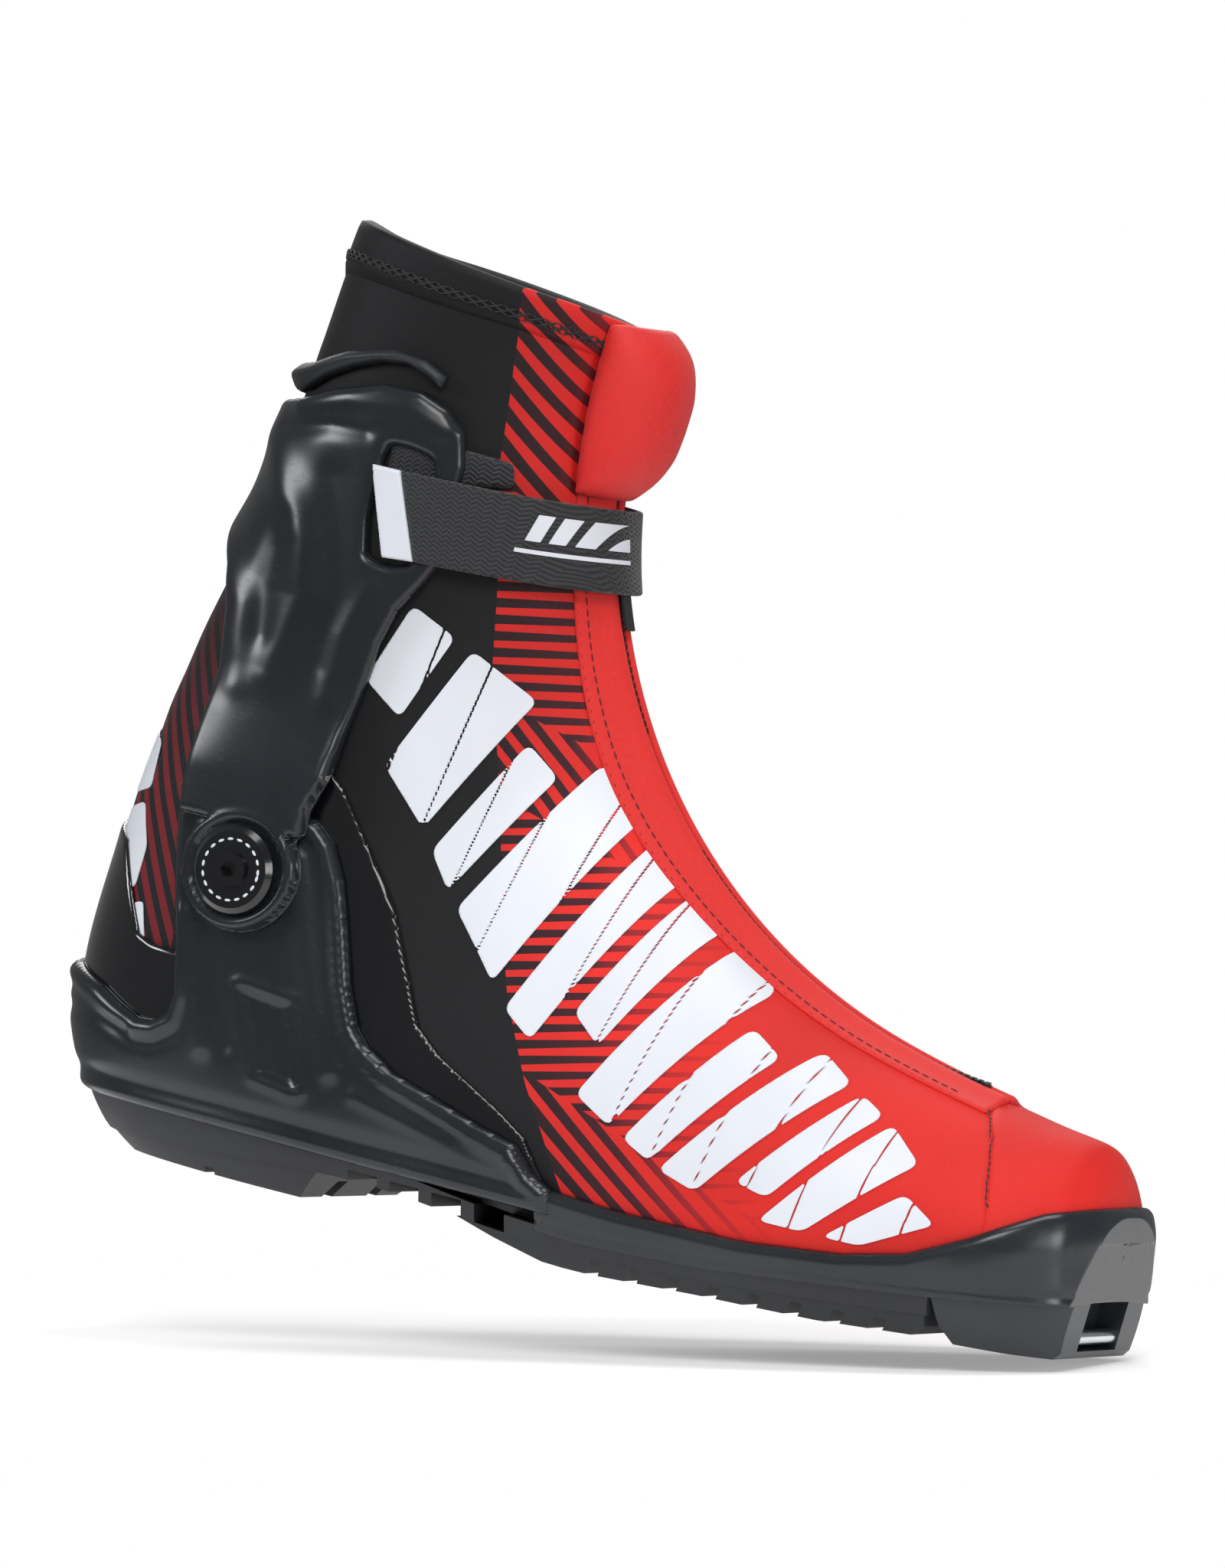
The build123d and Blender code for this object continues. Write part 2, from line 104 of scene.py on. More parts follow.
TOP_POWER, BOTTOM_POWER = 2.0, 2.4

# Side-view lines and outlines, in millimetres, as (x, z)
SOLE_LINE = [(-165, 20.5), (-129, 20.5), (-107, 25), (-83, 30), (-60, 29), (-39, 25.5), (-8, 20.5), (30, 19),
             (66, 19.5), (93, 22.5), (110, 26.5), (125, 34), (139, 43), (150, 47.5), (165, 48)]
SOLE_STEP = [(-165, 15.3), (-114, 15.3), (-71, 15.3), (-36, 14.3), (-8, 11.3), (20, 10.3), (57, 12.3), (81, 14.8),
             (118, 18.8), (165, 24.3)]
SHELL_OUTLINE = [(12, 14), (11, 20), (5, 23), (-1, 29), (-13, 31.5), (-26, 35), (-41, 39), (-50, 44), (-54, 48),
                 (-59, 58), (-64, 73), (-68, 84), (-73, 93), (-78, 97.5), (-86, 99), (-104, 99), (-116, 97),
                 (-118, 91), (-117, 84), (-114, 70), (-111, 56), (-109, 45), (-110, 39.5), (-114, 37),
                 (-119, 36.5), (-126, 39), (-133, 42), (-145, 45), (-170, 47), (-170, 14)]
CUFF_OUTLINE = [(-80, 92), (-80, 100), (-77, 109), (-76, 120), (-74, 132), (-72, 146), (-69, 156), (-64, 164),
                (-61, 170), (-60, 183), (-59.5, 196), (-61, 205), (-66, 210), (-73, 213), (-84, 213), (-97, 209),
                (-108, 204), (-118, 202), (-170, 202), (-170, 166), (-134, 165), (-125, 163), (-120, 156),
                (-117, 144), (-115, 130), (-115, 112), (-115.5, 100), (-115, 92)]
CUFF_SLOT = [(-80, 195), (-78.5, 198), (-73, 198), (-67, 196.5), (-66, 190), (-66.5, 174), (-68, 168.5),
             (-73, 167), (-79.5, 168), (-81, 178)]
RIM_OUTLINE = [(-69, 214.5), (-73, 217), (-79, 219), (-87, 218), (-95, 215), (-103, 211), (-110, 206.5),
               (-118, 204.5), (-170, 204.5), (-170, 211.5), (-118, 212), (-108, 214), (-97, 219), (-84, 222),
               (-74, 221), (-68, 218)]
OVERLAY_EDGE = [(-80, 112), (-74, 107), (-64, 94), (-53, 80), (-46, 67), (-38, 52), (-30, 46), (-8, 35.5),
                (0, 31), (7, 22), (8, 15), (-90, 15), (-112, 60), (-96, 110)]
COUNTER_OUTLINE = [(-106, 30), (-106, 55), (-120, 56), (-124.5, 57.5), (-127, 62), (-132, 71), (-137, 80),
                   (-145, 84), (-170, 86), (-170, 30)]
TOE_OUTLINE = [(98, 95), (99, 75), (103, 70), (110, 65.5), (119, 58), (124, 48.5), (127, 40), (128, 30), (200, 20),
               (200, 95)]

# The printed boundary between the black heel side and the red instep side, as (height, x)
PRINT_EDGE = [(10, 22), (20, 13), (34, 4), (45, -4), (65, -16), (83, -24), (110, -33), (144, -43.5), (168, -47),
              (198, -52), (225, -53), (260, -54)]

# The printed blocks on the quarter lie between these two side-view lines, each from one share of them to another
BAND_TOP = [(-66, 158), (-36, 143), (-14, 128), (8, 113), (30, 92), (52, 78), (76, 65), (98, 55), (124, 35)]
BAND_LOW = [(-82, 130), (-56, 108), (-40, 87), (-16, 62), (6, 48), (24, 39), (44, 30), (70, 25.5), (98, 25.5)]
BLOCKS = [(0.000, 0.050, 0.30, 1.0), (0.070, 0.150, 0.0, 1.0), (0.180, 0.235, 0.0, 0.80), (0.255, 0.335, 0.0, 1.0),
          (0.365, 0.420, 0.0, 1.0), (0.440, 0.495, 0.25, 1.0), (0.525, 0.605, 0.0, 1.0), (0.635, 0.690, 0.0, 0.85),
          (0.710, 0.770, 0.0, 1.0), (0.795, 0.840, 0.18, 1.0), (0.860, 0.915, 0.0, 1.0), (0.940, 0.985, 0.0, 0.8)]
BACK_BARS = [
    [(-141, 110), (-134, 107), (-133, 95), (-141, 92), (-144, 100)],
    [(-141, 88), (-134, 91), (-129, 80), (-130, 69), (-136, 66), (-142, 74)],
    [(-133, 63), (-126, 66), (-121, 50), (-126, 41), (-132, 46)]]


# ---------------------------------------------------------------- what a user would change
class SkateBootColors(bpy.types.PropertyGroup):
    """Base colours of the boot"""
    instep: bpy.props.FloatVectorProperty(
        name="Instep", description="Cloth of the instep and the toe", default=(0.80, 0.022, 0.016), subtype="COLOR",
        min=0, max=1)
    heel: bpy.props.FloatVectorProperty(
        name="Heel side", description="Dark cloth of the heel side and the shaft", default=(0.0050, 0.0054, 0.0068),
        subtype="COLOR", min=0, max=1)
    tongue: bpy.props.FloatVectorProperty(
        name="Tongue", description="Cloth of the padded tongue", default=(0.70, 0.016, 0.014), subtype="COLOR",
        min=0, max=1)
    plastic: bpy.props.FloatVectorProperty(
        name="Plastic", description="Moulded shell, cuff and rand", default=(0.0085, 0.0105, 0.0130), subtype="COLOR",
        min=0, max=1)
    chalk: bpy.props.FloatVectorProperty(
        name="Print", description="Printed blocks, the strap's tip and the pivot's marks", default=(0.80, 0.83, 0.90),
        subtype="COLOR", min=0, max=1)


class SkateBootSizes(bpy.types.PropertyGroup):
    """Sizes of the boot's details"""
    stitch: bpy.props.FloatProperty(
        name="Thread", description="Thickness of the stitching thread", default=THREAD, min=0.0002, max=0.001,
        precision=5, unit="LENGTH")
    stripe_pitch: bpy.props.FloatProperty(
        name="Stripe pitch", description="Distance between two printed stripes", default=STRIPE_PITCH, min=0.002,
        max=0.01, precision=4, unit="LENGTH")
    shell_wall: bpy.props.FloatProperty(
        name="Shell wall", description="Thickness of the heel shell", default=0.0033, min=0.002, max=0.005,
        precision=4, unit="LENGTH")
    cuff_wall: bpy.props.FloatProperty(
        name="Cuff wall", description="Thickness of the cuff", default=0.0035, min=0.002, max=0.005, precision=4,
        unit="LENGTH")
    tongue_swell: bpy.props.FloatProperty(
        name="Tongue swell", description="The most that the tongue's filling pushes its cloth out", default=0.003,
        min=0, max=0.006, precision=4, unit="LENGTH")
    room_light: bpy.props.FloatProperty(
        name="Room light", description="Strength of the white room round the boot", default=0.20, min=0, max=1,
        subtype="FACTOR")


def colors():
    """The scene's colour properties."""
    return bpy.context.scene.skate_boot_colors


def sizes():
    """The scene's size properties."""
    return bpy.context.scene.skate_boot_sizes


# ---------------------------------------------------------------- the form
def stations_at(u):
    """Rows of the station table between its entries, smooth in u, the station count from the toe."""
    u = np.clip(u, 0, LAST)
    i = np.minimum(u.astype(int), LAST - 1)
    f = (u - i)[..., None]
    before, start, stop, after = (STATIONS[np.clip(i + k, 0, LAST)] for k in (-1, 0, 1, 2))
    return 0.5 * (2 * start + (stop - before) * f + (2 * before - 5 * start + 4 * stop - after) * f ** 2
                  + (3 * start - before - 3 * stop + after) * f ** 3)


def form_point(u, t):
    """Points on the form in millimetres. t runs round a section: 0 on the top ridge, positive to the outer side."""
    angle, top, widest, bottom, half = np.moveaxis(stations_at(np.asarray(u, float)), -1, 0)
    c, s = np.cos(t), np.sin(t)
    power = np.where(c > 0, TOP_POWER, BOTTOM_POWER)
    radius = np.where(c > 0, widest - (widest - top) * np.abs(c) ** (2 / power),
                      widest + (bottom - widest) * np.abs(c) ** (2 / power))
    a = np.radians(angle)
    return np.stack([AXIS_X - radius * np.sin(a), -np.sign(s) * half * np.abs(s) ** (2 / power),
                     AXIS_Z - radius * np.cos(a)], -1)


def form_normal(u, t, size=0.02):
    """Outward unit normals of the form."""
    u0, u1 = np.clip(u - size, 0.02, LAST), np.clip(u + size, 0.04, LAST)
    along = form_point(u1, t) - form_point(u0, t)
    round_it = form_point(u, t + size) - form_point(u, t - size)
    n = np.cross(along, round_it)
    return n / np.maximum(np.linalg.norm(n, axis=-1, keepdims=True), 1e-9)


def u_of(angle):
    """The station count at a fan angle."""
    return float(np.interp(angle, STATIONS[:, 0], np.arange(LAST + 1)))


# ---------------------------------------------------------------- fields: positive inside, in millimetres
def outline_field(points):
    """Signed distance to a closed side-view outline."""
    a = np.array(points, float)
    b = np.roll(a, -1, 0)

    def field(p):
        q = p[..., (0, 2)]
        best, inside = np.full(q.shape[:-1], 1e9), np.zeros(q.shape[:-1], bool)
        for (x0, z0), (x1, z1) in zip(a, b):
            ex, ez = x1 - x0, z1 - z0
            wx, wz = q[..., 0] - x0, q[..., 1] - z0
            h = np.clip((wx * ex + wz * ez) / (ex * ex + ez * ez), 0, 1)
            best = np.minimum(best, (wx - ex * h) ** 2 + (wz - ez * h) ** 2)
            crosses = (z0 > q[..., 1]) != (z1 > q[..., 1])
            with np.errstate(divide="ignore", invalid="ignore"):
                inside ^= crosses & (q[..., 0] < x0 + ex * (q[..., 1] - z0) / (ez if ez else 1e-9))
        return np.where(inside, 1, -1) * np.sqrt(best)
    return field


def line_distance(p, points):
    """Distance in side view to an open line."""
    q = p[..., (0, 2)]
    best = np.full(q.shape[:-1], 1e9)
    for (x0, z0), (x1, z1) in zip(points, points[1:]):
        ex, ez = x1 - x0, z1 - z0
        h = np.clip(((q[..., 0] - x0) * ex + (q[..., 1] - z0) * ez) / (ex * ex + ez * ez), 0, 1)
        best = np.minimum(best, np.hypot(q[..., 0] - x0 - ex * h, q[..., 1] - z0 - ez * h))
    return best


def above(line, lift=0.0):
    """Height over a side-view line."""
    x, z = np.array(line, float).T
    return lambda p: p[..., 2] - np.interp(p[..., 0], x, z) - lift


def both(*fields):
    """Inside every field."""
    return lambda p: np.minimum.reduce([f(p) for f in fields])


def either(*fields):
    """Inside any field."""
    return lambda p: np.maximum.reduce([f(p) for f in fields])


def outside(field):
    """Outside a field."""
    return lambda p: -field(p)


def fan_angle(p):
    """The fan angle of points, in degrees."""
    return np.degrees(np.arctan2(AXIS_X - p[..., 0], AXIS_Z - p[..., 2]))


def pivot_distance(p):
    """Side-view distance from the ankle pivot."""
    return np.hypot(p[:, 0] - PIVOT_X, p[:, 2] - PIVOT_Z)


def at_height(line, p):
    """x of a (height, x) line at each point's height."""
    z, x = np.array(line, float).T
    return np.interp(p[:, 2], z, x)


def collar_drop(across):
    """How many degrees the collar lies lower, from 0 on the outer side to its most on the inner one."""
    return COLLAR_TILT * smooth_step(across, -36, 30)


def under_collar(angle):
    """Below the collar line that lies at a fan angle on the outer side."""
    return lambda p: (angle - collar_drop(p[..., 1]) - fan_angle(p)) * MM_PER_DEGREE


def rounded(points, radius):
    """An outline with its corners rounded."""
    points = [np.array(p, float) for p in points]
    made = []
    for before, here, after in zip(points[-1:] + points[:-1], points, points[1:] + points[:1]):
        for way in (before, after):
            length = np.linalg.norm(way - here)
            made.append(here + (way - here) * min(radius / length, 0.45))
        a, b = made.pop(-2), made.pop(-1)
        for k in range(5):
            f = k / 4
            made.append((1 - f) ** 2 * a + 2 * f * (1 - f) * here + f * f * b)
    return [tuple(p) for p in made]


def smooth_step(value, low, high):
    """0 below low, 1 above high, with a soft change between."""
    f = np.clip((value - low) / (high - low), 0, 1)
    return f * f * (3 - 2 * f)


def bell(distance, width):
    """A soft ridge profile."""
    return np.exp(-(distance / width) ** 2)


# ---------------------------------------------------------------- meshes
def clip_grid(u, t, faces, value):
    """Cuts a triangle grid where value is 0 and keeps its positive side."""
    keep = value > 0
    count = keep[faces].sum(1)
    made = [faces[count == 3]]
    first = {}
    new_u, new_t = [], []

    def cut(a, b):
        """The new points on the edges a-b."""
        low, high = np.minimum(a, b), np.maximum(a, b)
        ids = np.empty(len(a), int)
        for n, key in enumerate(zip(low.tolist(), high.tolist())):
            if key not in first:
                i, j = key
                f = value[i] / (value[i] - value[j])
                f = min(max(f, 0.03), 0.97)
                first[key] = len(u) + len(new_u)
                new_u.append(u[i] + (u[j] - u[i]) * f)
                new_t.append(t[i] + (t[j] - t[i]) * f)
            ids[n] = first[key]
        return ids

    for number in (1, 2):
        some = faces[count == number]
        if not len(some):
            continue
        lone = keep[some] if number == 1 else ~keep[some]
        turn = lone.argmax(1)
        a, b, c = (some[np.arange(len(some)), (turn + k) % 3] for k in range(3))
        ab, ac = cut(a, b), cut(a, c)
        if number == 1:
            made.append(np.stack([a, ab, ac], 1))
        else:
            made += [np.stack([ab, b, c], 1), np.stack([ab, c, ac], 1)]
    faces = np.concatenate(made)
    u, t = np.append(u, new_u), np.append(t, new_t)
    used, back = np.unique(faces, return_inverse=True)
    return u[used], t[used], back.reshape(faces.shape)


def grid(u_range, t_range, counts, ring=False):
    """Station counts, section angles and triangles of a grid on the form."""
    nu, nt = counts
    us = np.linspace(*u_range, nu)
    ts = np.linspace(*t_range, nt + 1 if ring else nt)[:nt]
    u, t = np.meshgrid(us, ts, indexing="ij")
    i, j = np.meshgrid(np.arange(nu - 1), np.arange(nt if ring else nt - 1), indexing="ij")
    k = (j + 1) % nt
    a, b, c, d = i * nt + j, (i + 1) * nt + j, (i + 1) * nt + k, i * nt + k
    faces = np.concatenate([np.stack([a, b, c], -1).reshape(-1, 3), np.stack([a, c, d], -1).reshape(-1, 3)])
    return u.ravel(), t.ravel(), faces


def remember_place(mesh):
    """Keeps the mesh's points at rest in the attribute that its material reads."""
    if "rest" not in mesh.attributes:
        mesh.attributes.new("rest", "FLOAT_VECTOR", "POINT")
    flat = np.empty(len(mesh.vertices) * 3)
    mesh.vertices.foreach_get("co", flat)
    mesh.attributes["rest"].data.foreach_set("vector", flat)


def linked(name, mesh):
    """A new object with a mesh, in the scene."""
    piece = bpy.data.objects.new(name, mesh)
    bpy.context.scene.collection.objects.link(piece)
    return piece


def evaluated_mesh(piece):
    """A plain mesh of an object with its modifiers."""
    return bpy.data.meshes.new_from_object(piece.evaluated_get(bpy.context.evaluated_depsgraph_get()))


def new_object(name, points, faces, smooth=True):
    """A mesh object from points in millimetres, merged and with its faces turned outwards."""
    mesh = bpy.data.meshes.new(name)
    mesh.from_pydata((np.asarray(points) * MM).tolist(), [], [list(map(int, f)) for f in faces])
    work = bmesh.new()
    work.from_mesh(mesh)
    bmesh.ops.remove_doubles(work, verts=work.verts, dist=MERGE * MM)
    bmesh.ops.dissolve_degenerate(work, edges=work.edges, dist=MERGE * MM / 2)
    bmesh.ops.recalc_face_normals(work, faces=work.faces)
    work.to_mesh(mesh)
    work.free()
    if smooth:
        mesh.shade_smooth()
    remember_place(mesh)
    return linked(name, mesh)


def skin(name, field, inner, outer, u_range, t_range, counts, ring=False, move=None):
    """A closed sheet on the form, kept where field is positive, between two offsets along the normal.

    inner and outer are numbers, or functions of the form's point and the field there. move may shift the points of
    either face, and is told which face it has.
    """
    u, t, faces = grid(u_range, t_range, counts, ring)
    u, t, faces = clip_grid(u, t, faces, field(form_point(u, t)))
    p, n = form_point(u, t), form_normal(u, t)
    edge = np.maximum(field(p), 0)
    sides = []
    for lift in (outer, inner):
        d = lift(p, edge) if callable(lift) else np.full(len(p), float(lift))
        spot = p + n * d[:, None]
        sides.append(move(spot, lift is outer) if move else spot)
    size = len(p)
    pairs = np.concatenate([faces[:, (0, 1)], faces[:, (1, 2)], faces[:, (2, 0)]])
    key = np.sort(pairs, 1)
    _, index, number = np.unique(key[:, 0] * size + key[:, 1], return_index=True, return_counts=True)
    rim = pairs[index[number == 1]]
    walls = [(a, b, b + size, a + size) for a, b in rim.tolist()]
    return new_object(name, np.concatenate(sides), [*faces.tolist(), *(faces[:, ::-1] + size).tolist(), *walls])


def crisp(thick, radius, edge_share=0.45, base=0.0):
    """An outer offset with a rounded edge."""
    def lift(p, edge):
        f = np.clip(edge / radius, 0, 1)
        return base + thick * (edge_share + (1 - edge_share) * np.sqrt(1 - (1 - f) ** 2))
    return lift


def mirrored(piece):
    """Adds the piece's mirror image on the other side of the boot to the same mesh."""
    work = bmesh.new()
    work.from_mesh(piece.data)
    twin = bmesh.ops.duplicate(work, geom=[*work.verts, *work.edges, *work.faces])["geom"]
    for v in (g for g in twin if isinstance(g, bmesh.types.BMVert)):
        v.co.y *= -1
    bmesh.ops.recalc_face_normals(work, faces=work.faces)
    work.to_mesh(piece.data)
    work.free()
    return piece


# ---------------------------------------------------------------- shader nodes
class Value:
    """A number that changes over a surface, written as an expression."""

    def __init__(self, recipe, socket):
        self.recipe, self.socket = recipe, socket

    def math(self, operation, *others, clamp=False):
        node = self.recipe.node("ShaderNodeMath", [self, *others], operation=operation, use_clamp=clamp)
        return Value(self.recipe, node.outputs[0])

    def flipped(self, operation, other):
        node = self.recipe.node("ShaderNodeMath", [other, self], operation=operation)
        return Value(self.recipe, node.outputs[0])

    def __add__(self, other):
        return self.math("ADD", other)

    def __sub__(self, other):
        return self.math("SUBTRACT", other)

    def __rsub__(self, other):
        return self.flipped("SUBTRACT", other)

    def __mul__(self, other):
        return self.math("MULTIPLY", other)

    def __truediv__(self, other):
        return self.math("DIVIDE", other)

    def __lt__(self, other):
        return self.math("LESS_THAN", other)

    def __gt__(self, other):
        return self.math("GREATER_THAN", other)

    __radd__, __rmul__ = __add__, __mul__

    def between(self, low, high):
        """1 from low to high and 0 outside."""
        return (self > low) * (self < high)

    def ramp(self, low, high):
        """0 at low and 1 at high, straight between and held outside."""
        return ((self - low) / (high - low)).math("ADD", 0.0, clamp=True)


class Recipe:
    """The node tree of one material."""

    def __init__(self, name, color, rough, metallic=0.0, **constants):
        self.material = bpy.data.materials.new(name)
        self.material.use_nodes = True
        self.tree = self.material.node_tree
        self.tree.nodes.clear()
        self.output = self.node("ShaderNodeOutputMaterial")
        self.shader = self.node("ShaderNodeBsdfPrincipled", {
            "Base Color": (*color, 1), "Roughness": rough, "Metallic": metallic,
            **{key.replace("_", " "): value for key, value in constants.items()}})
        self.tree.links.new(self.shader.outputs[0], self.output.inputs[0])
        self.material.diffuse_color = (*color, 1)

    def node(self, kind, sockets=None, **settings):
        """A node with its settings, then the values or links of its sockets."""
        node = self.tree.nodes.new(kind)
        for key, value in settings.items():
            setattr(node, key, value)
        pairs = sockets.items() if isinstance(sockets, dict) else enumerate(sockets or [])
        for key, value in pairs:
            self.feed(node.inputs[key], value)
        return node

    def feed(self, socket, value):
        """Links or sets one socket."""
        if isinstance(value, Value):
            value = value.socket
        if isinstance(value, bpy.types.NodeSocket):
            self.tree.links.new(value, socket)
        else:
            socket.default_value = value

    def place(self, cad=False):
        """The piece's own place at rest, in metres; a CAD piece never leaves its own coordinates."""
        if cad:
            return self.node("ShaderNodeTexCoord").outputs["Object"]
        return self.node("ShaderNodeAttribute", attribute_name="rest").outputs["Vector"]

    def axes(self, vector):
        """The three numbers of a vector."""
        node = self.node("ShaderNodeSeparateXYZ", [vector])
        return [Value(self, out) for out in node.outputs]

    def noise(self, vector, scale, detail=2.0, rough=0.5, stretch=(1, 1, 1)):
        """A noise value from 0 to 1."""
        if stretch != (1, 1, 1):
            vector = self.node("ShaderNodeMapping", {"Vector": vector, "Scale": stretch}).outputs[0]
        node = self.node("ShaderNodeTexNoise", {"Vector": vector, "Scale": scale, "Detail": detail,
                                               "Roughness": rough})
        return Value(self, node.outputs["Fac"])

    def mix(self, factor, a, b):
        """Colour a at 0 and colour b at 1."""
        node = self.node("ShaderNodeMix", data_type="RGBA")
        self.feed(node.inputs["Factor"], factor)
        for name, value in (("A", a), ("B", b)):
            socket = [s for s in node.inputs if s.name == name and s.type == "RGBA"][0]
            self.feed(socket, (*value, 1) if isinstance(value, tuple) and len(value) == 3 else value)
        return [s for s in node.outputs if s.type == "RGBA"][0]

    def bump(self, height, strength=0.4, distance=0.0005):
        """Height as a bump into the shader's normal."""
        node = self.node("ShaderNodeBump", {"Height": height, "Strength": strength, "Distance": distance})
        self.feed(self.shader.inputs["Normal"], node.outputs[0])

    def set(self, name, value):
        """Feeds one of the shader's own sockets."""
        self.feed(self.shader.inputs[name], value)


PLUM, BAR_DARK, PITCH_BLACK = (0.085, 0.006, 0.018), (0.020, 0.006, 0.008), (0.0030, 0.0034, 0.0045)
DEEP_RED, HEEL_HIGH, HEEL_LOW = (0.50, 0.012, 0.014), (0.020, 0.006, 0.010), (0.17, 0.008, 0.014)
EDGE_TALL, EDGE_SHIFT, EDGE_WIDE = 260, 60, 100        # millimetres that the printed edge's curve spans
HEEL_STRIPE = 4.4                                      # millimetres between the heel's stripes


def scaled(color, share):
    """A colour made darker or lighter."""
    return tuple(c * share for c in color)


def weave(recipe, vector, pitch=0.0011):
    """A fine twill's height, from 0 to 1."""
    x, y, z = recipe.axes(vector)
    warp = ((x + y * 0.6 + z) * (2 * pi / pitch)).math("SINE")
    weft = ((x - y * 0.6 - z) * (2 * pi / pitch)).math("SINE")
    return (warp * weft) * 0.5 + 0.5


def printed_edge(recipe, height):
    """x of the printed edge at each height, in millimetres."""
    curve = recipe.node("ShaderNodeFloatCurve", {"Value": height / EDGE_TALL})
    line = curve.mapping.curves[0]
    spots = [(z / EDGE_TALL, (x + EDGE_SHIFT) / EDGE_WIDE) for z, x in PRINT_EDGE]
    line.points[0].location, line.points[1].location = spots[0], spots[-1]
    for spot in spots[1:-1]:
        line.points.new(*spot)
    for point in line.points:
        point.handle_type = "VECTOR"
    curve.mapping.update()
    return Value(recipe, curve.outputs[0]) * EDGE_WIDE - EDGE_SHIFT


def printed_cloth(name):
    """Laminated cloth with a printed dark heel side, a red instep side and slanted bars that taper between."""
    red_now, black_now = tuple(colors().instep), tuple(colors().heel)
    made = Recipe(name, red_now, 0.62, Sheen_Weight=0.03, Sheen_Roughness=0.4, Specular_IOR_Level=0.3)
    place = made.place()
    x, y, z = made.axes(place)
    x, z = x * (1 / MM), z * (1 / MM)
    ahead = x - printed_edge(made, z)                  # millimetres in front of the printed edge

    def bars(slope, pitch, taper):
        """Bars at a slope; they thin out over taper millimetres ahead of the edge."""
        a = radians(slope)
        across = (x * -sin(a) + z * cos(a)) / (pitch * sizes().stripe_pitch / STRIPE_PITCH)
        width = 0.58 - ahead * (0.30 / taper)
        return (across.math("FRACT") < width) * ahead.ramp(taper + 12, taper * 0.45)

    level = z + x * 0.30
    top = bars(-44, 5.2, 26) * (level > 178)
    calf = bars(11, 4.3, 44) * (level < 178) * (level > 126)
    shin = bars(-40, 4.3, 40) * (level < 126) * (level > 104)
    mid = bars(14, 4.1, 52) * (level < 104) * (level > 46)
    low_bars = bars(-33, 5.2, 52) * (level < 46)
    striped = (top + calf + shin + mid + low_bars).math("ADD", 0.0, clamp=True) * (ahead > 0)
    heather = made.noise(place, 900, 3, 0.7)
    broad = made.noise(place, 14, 2, 0.5)
    red = made.mix(broad.ramp(0.35, 0.75), red_now, scaled(red_now, 0.72))
    red = made.mix(ahead.ramp(30, 2) * 0.30, red, DEEP_RED)
    body = made.mix(striped, red, made.mix(ahead.ramp(4, 40), BAR_DARK, PLUM))
    dark = made.mix((heather > 0.66) * 0.5, black_now, scaled(black_now, 2.6))
    heel_saw = ((x * 0.86 + z * 0.50) / HEEL_STRIPE).math("FRACT")
    heel = (x < (z * -0.02 - 113)) * (z < 170)
    dark = made.mix(heel * (heel_saw < 0.52), dark, made.mix(z.ramp(150, 96), HEEL_HIGH, HEEL_LOW))
    made.set("Base Color", made.mix(ahead > 0, dark, body))
    made.set("Roughness", 0.52 + heather * 0.2)
    made.bump(weave(made, place) * 0.55 + heather * 0.45, 0.35, 0.00022)
    return made.material


def plain_cloth(name, color, second, pitch=0.0012, rough=0.7, sheen=0.15, relief=0.3):
    """Cloth of one colour, with a twill and a soft heather."""
    made = Recipe(name, color, rough, Sheen_Weight=sheen, Sheen_Roughness=0.45)
    place = made.place()
    twill = weave(made, place, pitch)
    heather = made.noise(place, 700, 3, 0.65)
    made.set("Base Color", made.mix(heather.ramp(0.35, 0.7) * 0.5 + twill * 0.25, color, second))
    made.set("Roughness", rough - 0.08 + heather * 0.16)
    made.bump(twill * 0.7 + heather * 0.3, relief, 0.00025)
    return made.material


def moulded(name, color, second, rough=0.36, grain=0.10, coat=0.0, cad=False):
    """Moulded plastic or rubber: a fine grain, a faint flow of shade and scuffs that change its gloss."""
    made = Recipe(name, color, rough, Coat_Weight=coat, Coat_Roughness=0.12)
    place = made.place(cad)
    fine = made.noise(place, 1600, 2, 0.5)
    flow = made.noise(place, 22, 3, 0.55, (1.0, 1.0, 0.5))
    scuff = made.noise(place, 260, 4, 0.7, (1.0, 1.0, 3.0))
    made.set("Base Color", made.mix(flow.ramp(0.3, 0.72), color, second))
    made.set("Roughness", rough - 0.05 + flow * 0.07 + scuff.ramp(0.55, 0.9) * 0.16)
    made.bump(fine * 0.7 + scuff * 0.3, grain, 0.00012)
    return made.material


def webbing_cloth(name):
    """Heavy webbing with a herringbone rib."""
    made = Recipe(name, (0.012, 0.013, 0.016), 0.66, Sheen_Weight=0.25, Sheen_Roughness=0.4)
    place = made.place()
    x, y, z = made.axes(place)
    along = x - y * 0.75
    column = (along / 0.0021).math("FRACT")
    side = (column > 0.5) * 2 - 1
    rib = ((z + side * along * 0.9) / 0.00125 * (2 * pi)).math("SINE") * 0.5 + 0.5
    thread = made.noise(place, 1500, 2, 0.6)
    made.set("Base Color", made.mix(rib * 0.8, (0.006, 0.0065, 0.008), (0.040, 0.043, 0.050)))
    made.set("Roughness", 0.58 + thread * 0.2)
    made.bump(rib * 0.75 + thread * 0.25, 0.8, 0.0004)
    return made.material


def brushed_steel(name):
    """Bright steel with fine turning marks."""
    made = Recipe(name, (0.72, 0.74, 0.78), 0.24, metallic=1.0)
    marks = made.noise(made.place(cad=True), 900, 2, 0.5, (1, 0.06, 1))
    made.set("Roughness", 0.16 + marks * 0.22)
    made.bump(marks, 0.15, 0.00008)
    return made.material


